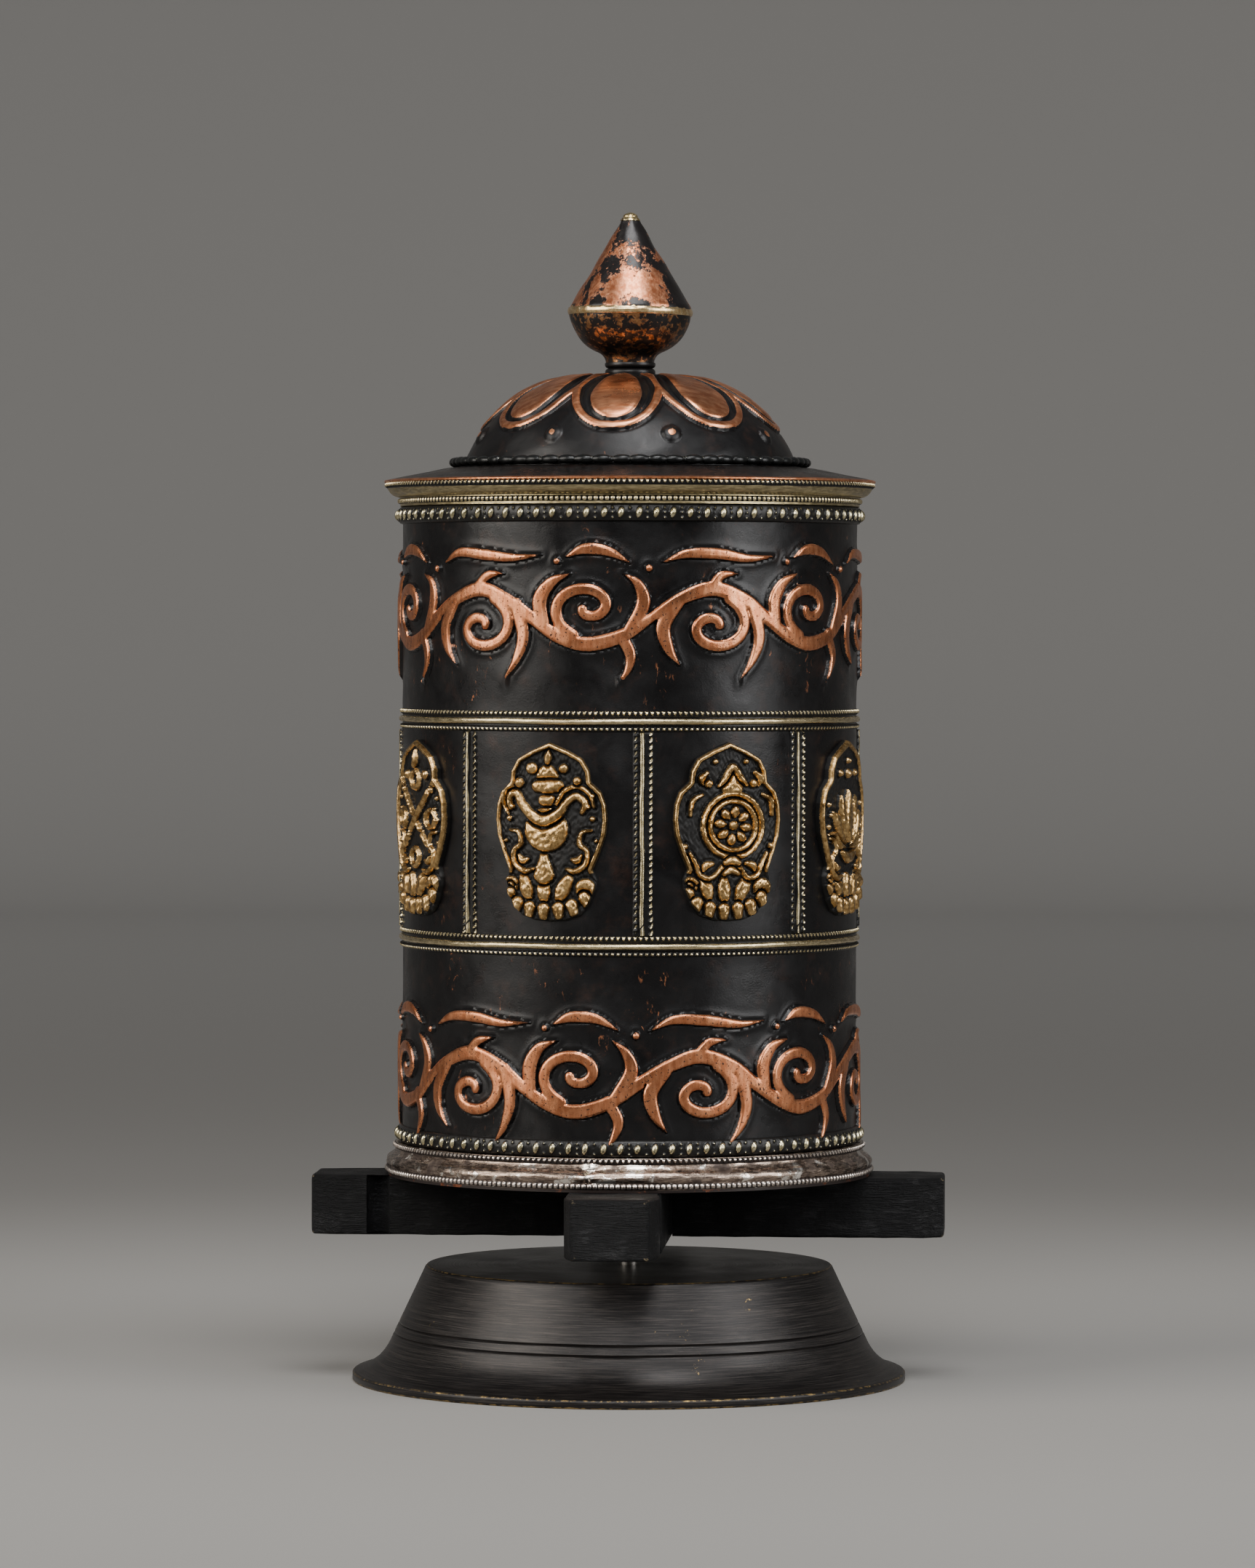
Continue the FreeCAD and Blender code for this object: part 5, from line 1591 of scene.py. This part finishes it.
# -------------------------------------------------------------------------------------- lid
@dataclass
class Lid:
    """Copper dome chased with eight petals, and the black cord of scallops round its foot."""

    columns: int = 640
    first_petal: float = -7.0
    petals: int = 8
    notches: int = 62
    border: float = 3.0

    def dome_profile(self, drop: float, step: float) -> np.ndarray:
        """Half profile from the lip up the side, over the shoulder to the neck.

        Args:
            drop: How far it lies inside the outer face.
            step: Distance between its points.

        Returns:
            Rows of radius and height.
        """
        foot, peak = low("lid_dome")[2], high("lid_dome")[2]
        return arc_line((50.0 - drop, foot + 0.9), (41.0 - 0.85 * drop, foot + 15.4 - 0.5 * drop, 0.9),
                        (16.2, peak - 1.0 - drop, 2.6), (7.5, peak - drop), (2.0, peak - drop),
                        step=step)

    def dome(self) -> Surface:
        """Outer face with petals by distance from their middle lines, then the plain inner face.

        Each petal is a raised drop inside a dark furrow inside a raised border that is open
        towards the neck; a boss stands between each two petals.

        Returns:
            The closed dome.
        """
        foot = low("lid_dome")[2]
        lip = arc_line((49.2, foot), (51.1, foot), (51.2, foot + 0.1), (51.2, foot + 0.75),
                       (51.05, foot + 0.9), (50.1, foot + 0.9), step=0.5)
        outer = self.dome_profile(0.0, 0.55)
        inner = self.dome_profile(0.95, 2.5)[::-1]
        run = np.concatenate([[0.0], np.cumsum(np.hypot(*np.diff(outer, axis=0).T))])[None]
        angle = np.arange(self.columns)[:, None] * 360.0 / self.columns
        pitch = 360.0 / self.petals
        sector = np.floor((angle - self.first_petal) / pitch + 0.5)
        rng = np.random.default_rng(51)
        off = rng.normal(0.0, 0.35, (4, self.petals))[:, sector.astype(int) % self.petals]
        turn = angle - self.first_petal - sector * pitch
        across = np.radians(turn) * outer[None, :, 0] + off[0] * 0.5
        up = run + off[1] * 0.6
        drop = Carving(across, up)
        drop.stroke(bent([(0.0, 22.2, 14.8), (0.0, 25.6, 15.8), (0.0, 33.0, 12.2), (0.0, 40.0, 7.0),
                          (0.0, 47.0, 2.4)]))
        border = Carving(across, up)
        side = [(11.7, 31.0, 2.4), (9.0, 38.0, 2.2), (6.2, 43.0, 1.8), (4.6, 49.0, 1.2)]
        half = [(0.0, 12.5, self.border), (5.0, 13.3, self.border), (9.2, 16.4, self.border),
                (11.7, 21.2, self.border), (12.3, 26.4, self.border), *side]
        border.draw(half)
        border.draw([(-x, y, w) for x, y, w in half])
        boss_turn = (angle - self.first_petal) % pitch - pitch / 2
        boss = Carving(np.radians(boss_turn) * outer[None, :, 0] + off[2] * 0.4, up)
        boss.blobs((0.0, 9.4, 5.8))
        furrow = np.maximum(drop.depth, border.depth)
        crown = 1.0 - smooth(run, 46.5, 49.5)
        lift = 0.95 * drop.mound(2.6) + 0.85 * border.mound(1.3) + 1.1 * boss.mound(2.9)
        sink = 0.4 * np.exp(-((furrow + 0.5) / 0.5) ** 2)
        dents = ripple(angle, run * 1.4, 52, 0.1, turns=16, pitch=14.0)
        tangent = np.gradient(outer, axis=0)
        tangent /= np.hypot(*tangent.T)[:, None]
        rise = (lift - sink) * crown + dents * smooth(run, 1.0, 5.0) * (run < 51.0)
        radius = outer[None, :, 0] + rise * tangent[None, :, 1]
        height = outer[None, :, 1] - rise * tangent[None, :, 0]
        relief = np.maximum(smooth(drop.depth, 0.0, 0.8) * 0.9, smooth(border.depth, 0.0, 0.5) * 0.88)
        relief = np.maximum(relief, smooth(boss.depth, 0.6, 2.4) * 0.62) * crown
        parts = [around(angle, lip[None, :, 0], lip[None, :, 1]), around(angle, radius, height),
                 around(angle, inner[None, :, 0], inner[None, :, 1])]
        values = [np.zeros(parts[0].shape[:2]), relief, np.zeros(parts[2].shape[:2])]
        return Surface(np.concatenate(parts, 1), True, True, np.concatenate(values, 1))

    def cord(self) -> Surface:
        """Round cord cut into scallops, with a painted glint of bright silver at the top of each notch."""
        bottom, top = low("lid_bead_ring")[2], high("lid_bead_ring")[2]
        columns = self.notches * 14
        angle = np.arange(columns)[:, None] * 360.0 / columns
        section = np.radians(np.linspace(-118.0, 118.0, 17))[None]
        rng = np.random.default_rng(53)
        even = rng.normal(0.0, 0.06, (2, self.notches))[:, (np.arange(columns) // 14)[:, None]]
        phase = np.arange(columns)[:, None] / 14 + even[0]
        swell = np.abs(np.sin(math.pi * phase)) ** 0.7
        size = (0.56 + 0.48 * swell + even[1] * 0.4) * (top - bottom) / 2
        middle = (top + bottom) / 2
        out = 52.6 + np.cos(section) * size * 1.22
        face = around(angle, out, middle + np.sin(section) * size)
        back = around(angle, 51.25, np.array([[middle + 0.6, middle - 0.6]]))
        # Painted glint: a spot of bright silver painted on the upper side of each notch.
        painted_glint = np.exp(-(((phase % 1.0 - 0.5) * 2.0) ** 2 - 1.0) ** 2 / 0.06)
        painted_glint = painted_glint * np.exp(-((np.degrees(section) - 44.0) / 22.0) ** 2)
        dots = np.exp(-(((phase * 2.0) % 1.0 - 0.5) / 0.1) ** 2) * np.exp(
            -((np.degrees(section) - 86.0) / 9.0) ** 2)
        # The relief carries the painted glints and the row of dots along the top.
        relief = np.maximum(painted_glint, 0.8 * dots)
        return Surface(np.concatenate([face, back], 1), True, True,
                       np.concatenate([relief, np.zeros((columns, 2))], 1))

    def pieces(self) -> list[Piece]:
        """Dome and cord."""
        return [Piece("dome_chased", [self.dome()], DOME_COPPER, "lid", "patina_copper",
                      ("lid_dome",)),
                Piece("dome_cord", [self.cord()], RING_BLACK, "lid", "silvered_copper",
                      ("lid_bead_ring",))]


@dataclass
class Finial:
    """Spinning-top finial: ringed neck, bowl, brass seam, pointed cap and brass tip."""

    columns: int = 200

    def turned(self, outer: np.ndarray, inner: np.ndarray | None, seed: int, reach: float) -> Surface:
        """A profile turned about the axis and beaten a little out of round.

        Args:
            outer: Rows of radius and height of the outside.
            inner: Rows of the inside, or None where the profile ends on the axis.
            seed: Start of the unevenness.
            reach: Its height.

        Returns:
            The closed shape, relief higher where it is beaten out.
        """
        profile = outer if inner is None else np.concatenate([outer, inner])
        surface = solid_of_revolution(profile, self.columns, inner is not None)
        angle = np.arange(self.columns)[:, None] * 360.0 / self.columns
        dents = ripple(angle, profile[None, :, 1] * 1.6, seed, reach, turns=7, pitch=12.0)
        dents = dents * smooth(profile[None, :, 0], 1.5, 4.0)
        surface.points = around(angle, profile[None, :, 0] + dents, profile[None, :, 1])
        surface.relief = 0.5 + dents / max(reach, 1e-6) * 0.2
        return surface

    def pieces(self) -> list[Piece]:
        """Neck, bowl, seam, cap and tip."""
        z0, z1 = low("finial_neck")[2], high("finial_neck")[2]
        middle = (z0 + z1) / 2
        neck = arc_line((2.0, z0), (7.5, z0), (6.6, middle, 0.45), (7.5, z1 - 0.1, 0.5), (7.3, z1),
                        (2.0, z1), step=0.25)
        z2 = high("finial_bowl")[2]
        bowl = arc_line((2.0, z1), (7.3, z1), (9.3, z1 + 3.0, -0.5), (18.3, z2, 2.1), step=0.5)
        bowl_in = arc_line((17.2, z2), (7.9, z1 + 3.8, -2.1), (2.0, z1 + 1.2), step=1.5)
        z3 = high("finial_seam_ring")[2]
        seam = arc_line((17.2, z2 - 0.5), (18.45, z2 - 0.5), (18.3, z3 + 0.55, 0.42),
                        (17.2, z3 + 0.55), step=0.2)
        z4 = high("finial_cone")[2]
        cap = arc_line((17.2, z3), (18.35, z3), (17.5, z3 + 2.0, 0.15), (3.3, z4 - 0.7), (3.0, z4),
                       (2.0, z4), step=0.6)
        cap_in = arc_line((1.8, z4 - 1.2), (16.3, z3 + 2.0), step=3.0)
        z5 = high("finial_tip")[2]
        tip = arc_line((0.0, z4), (2.7, z4), (3.0, z4 + 0.2), (2.25, z4 + 1.2, 0.1), (1.3, z5 - 0.35, 0.25),
                       (0.0, z5, 0.1), step=0.2)
        seam_ring = self.turned(seam, np.zeros((0, 2)), 64, 0.05)
        angle = np.radians(np.arange(self.columns) * 360.0 / self.columns)[:, None]
        seam_ring.points[..., 2] += 0.28 * np.cos(angle - math.radians(-80.0))
        lumps = np.maximum(0.0, np.sin(angle * 31.0) * np.sin(angle * 7.0 + 1.0)) ** 2
        upper = smooth(seam_ring.points[..., 2], z3 - 0.1, z3 + 0.3)
        seam_ring.points[..., 2] += 0.5 * lumps * upper
        return [
            Piece("neck_rings", [self.turned(neck, np.zeros((0, 2)), 61, 0.03)], NECK_DARK, "lid",
                  "copper", ("finial_neck",)),
            Piece("bowl_beaten", [self.turned(bowl, bowl_in, 62, 0.14)], BOWL_COPPER, "lid",
                  "patina_copper", ("finial_bowl",)),
            Piece("seam_band", [seam_ring], SEAM_BRASS, "lid", "pale_brass", ("finial_seam_ring",)),
            Piece("cap_pointed", [self.turned(cap, cap_in, 65, 0.13)], CAP_COPPER, "lid", "copper",
                  ("finial_cone",)),
            Piece("tip_drop", [self.turned(tip, None, 66, 0.0)], TIP_BRASS, "lid", "pale_brass",
                  ("finial_tip",)),
        ]


# ------------------------------------------------------------------------------------- studio
@dataclass
class Studio:
    """Grey sweep all round with painted light and shade graded by distance, soft lights, and a camera in
    front of the drum.
    """

    lens: float = 155.3
    eye: Triple = (0.0, -2.03, 0.2285)
    aim: Triple = (-0.0007, 0.0, 0.1787)
    roll: float = -0.08
    floor_radius: float = 3.2
    wall_radius: float = 5.2
    wall_height: float = 3.6

    def sweep(self) -> None:
        """Round floor that curves up into a wall: radius and height of a quarter ellipse."""
        turn = np.linspace(0.0, math.pi / 2, 24)
        radius = np.concatenate([[0.0, 0.4, 1.2, 2.2], self.floor_radius
                                 + (self.wall_radius - self.floor_radius) * np.sin(turn)])
        height = np.concatenate([np.zeros(4), self.wall_height * (1 - np.cos(turn))])
        profile = np.stack([radius, height], 1) / MM
        surface = solid_of_revolution(profile, 128, False)
        surface.closed_v = False
        four, three = surface.polygons()
        mesh = bpy.data.meshes.new("sweep")
        faces = four[:, ::-1].tolist() + three[:, ::-1].tolist()
        mesh.from_pydata((surface.points.reshape(-1, 3) * MM).tolist(), [], faces)
        mesh.shade_smooth()
        s = Shader("graded_paper_painted_light")
        reach = s.value("ShaderNodeVectorMath", {"operation": "LENGTH"}, [s.coords])
        # Painted light and shade: the floor is painted lighter just round the drum, darker in a ring
        # beyond, and lighter again far out and up the wall to make up for the light falling off there.
        near = s.blend(reach.step(0.28, 0.75), paint("7f7d7a"), paint("666461"))
        s.dress(Base_Color=s.blend(reach.step(0.9, 3.4), near, paint("a8a6a3")), Roughness=0.9)
        mesh.materials.append(s.material)
        floor = bpy.data.objects.new("sweep", mesh)
        bpy.context.scene.collection.objects.link(floor)

    def light(self, name: str, place: Triple, size: tuple[float, float],
              power: float, tint: str = "ffffff") -> None:
        """A rectangular soft light that faces the drum.

        Args:
            name: What it is called.
            place: Where it stands, in metres.
            size: Its width and height in metres.
            power: Watts.
            tint: Its colour.
        """
        data = bpy.data.lights.new(name, "AREA")
        data.shape = "RECTANGLE"
        data.size, data.size_y = size
        data.energy = power
        data.color = paint(tint)[:3]
        lamp = bpy.data.objects.new(name, data)
        lamp.location = place
        lamp.rotation_euler = look(np.array(self.aim) - np.array(place))
        bpy.context.scene.collection.objects.link(lamp)

    def build(self) -> None:
        """Floor, lights, dim surroundings and camera."""
        self.sweep()
        self.light("key_left", (-1.75, -0.85, 1.0), (1.5, 1.6), 50.0, "fffaf2")
        self.light("fill_right", (1.7, -0.95, 0.9), (1.1, 1.5), 36.0)
        self.light("front_soft", (-0.3, -2.5, 1.5), (1.5, 0.9), 36.0)
        self.light("top_soft", (0.15, -0.9, 2.0), (0.9, 0.9), 34.0)
        world = bpy.data.worlds.new("surroundings")
        world.use_nodes = True
        world.node_tree.nodes["Background"].inputs["Color"].default_value = paint("c9cacc")
        world.node_tree.nodes["Background"].inputs["Strength"].default_value = 0.26
        bpy.context.scene.world = world
        data = bpy.data.cameras.new("camera")
        data.lens = self.lens
        data.sensor_width = 36.0
        camera = bpy.data.objects.new("camera", data)
        camera.location = self.eye
        camera.rotation_euler = look(np.array(self.aim) - np.array(self.eye), self.roll)
        bpy.context.scene.collection.objects.link(camera)
        bpy.context.scene.camera = camera


def look(direction: np.ndarray, roll: float = 0.0) -> Triple:
    """Euler angles that point -Z along a direction with +Y up, rolled by some degrees.

    Args:
        direction: Where to point, of any length.
        roll: Degrees of turn about the direction.

    Returns:
        Euler angles in radians.
    """
    x, y, z = direction / np.linalg.norm(direction)
    tilt = math.acos(max(-1.0, min(1.0, -z)))
    return tilt, math.radians(roll), math.atan2(-x, y)


def dress_frame_nodes() -> None:
    """Give every CAD node that stays its own finish."""
    finishes = {
        "spindle": STEEL, "base_washer": STEEL, "base_nut": STEEL, "cross_screws": STEEL,
        "finial_stud": STEEL, "finial_washer": STEEL, "finial_nut": STEEL, "lower_bush": BUSH_BRASS,
        "core_tube": BUSH_BRASS, "pivot_cup": BUSH_BRASS, "lid_spigot": INNER_COPPER,
        "bottom_plate": INNER_COPPER, "paper_roll": PAPER,
    }
    for node, finish in finishes.items():
        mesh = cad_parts[node].data
        mesh.materials.clear()
        mesh.materials.append(finish.material())


def main() -> None:
    """Build every sub-assembly, dress the frame's own nodes and set up the studio."""
    logging.basicConfig(level=logging.INFO, format="%(name)s %(message)s")
    assemblies = [BellBase(), WoodenCross(), DrumShell(), BeadTrim(), Mouldings(), UprightStrips(),
                  CastPlaques(), Lid(), Finial()]
    for assembly in assemblies:
        for piece in assembly.pieces():
            piece.build()
    dress_frame_nodes()
    Studio().build()


if __name__ == "__main__":
    main()
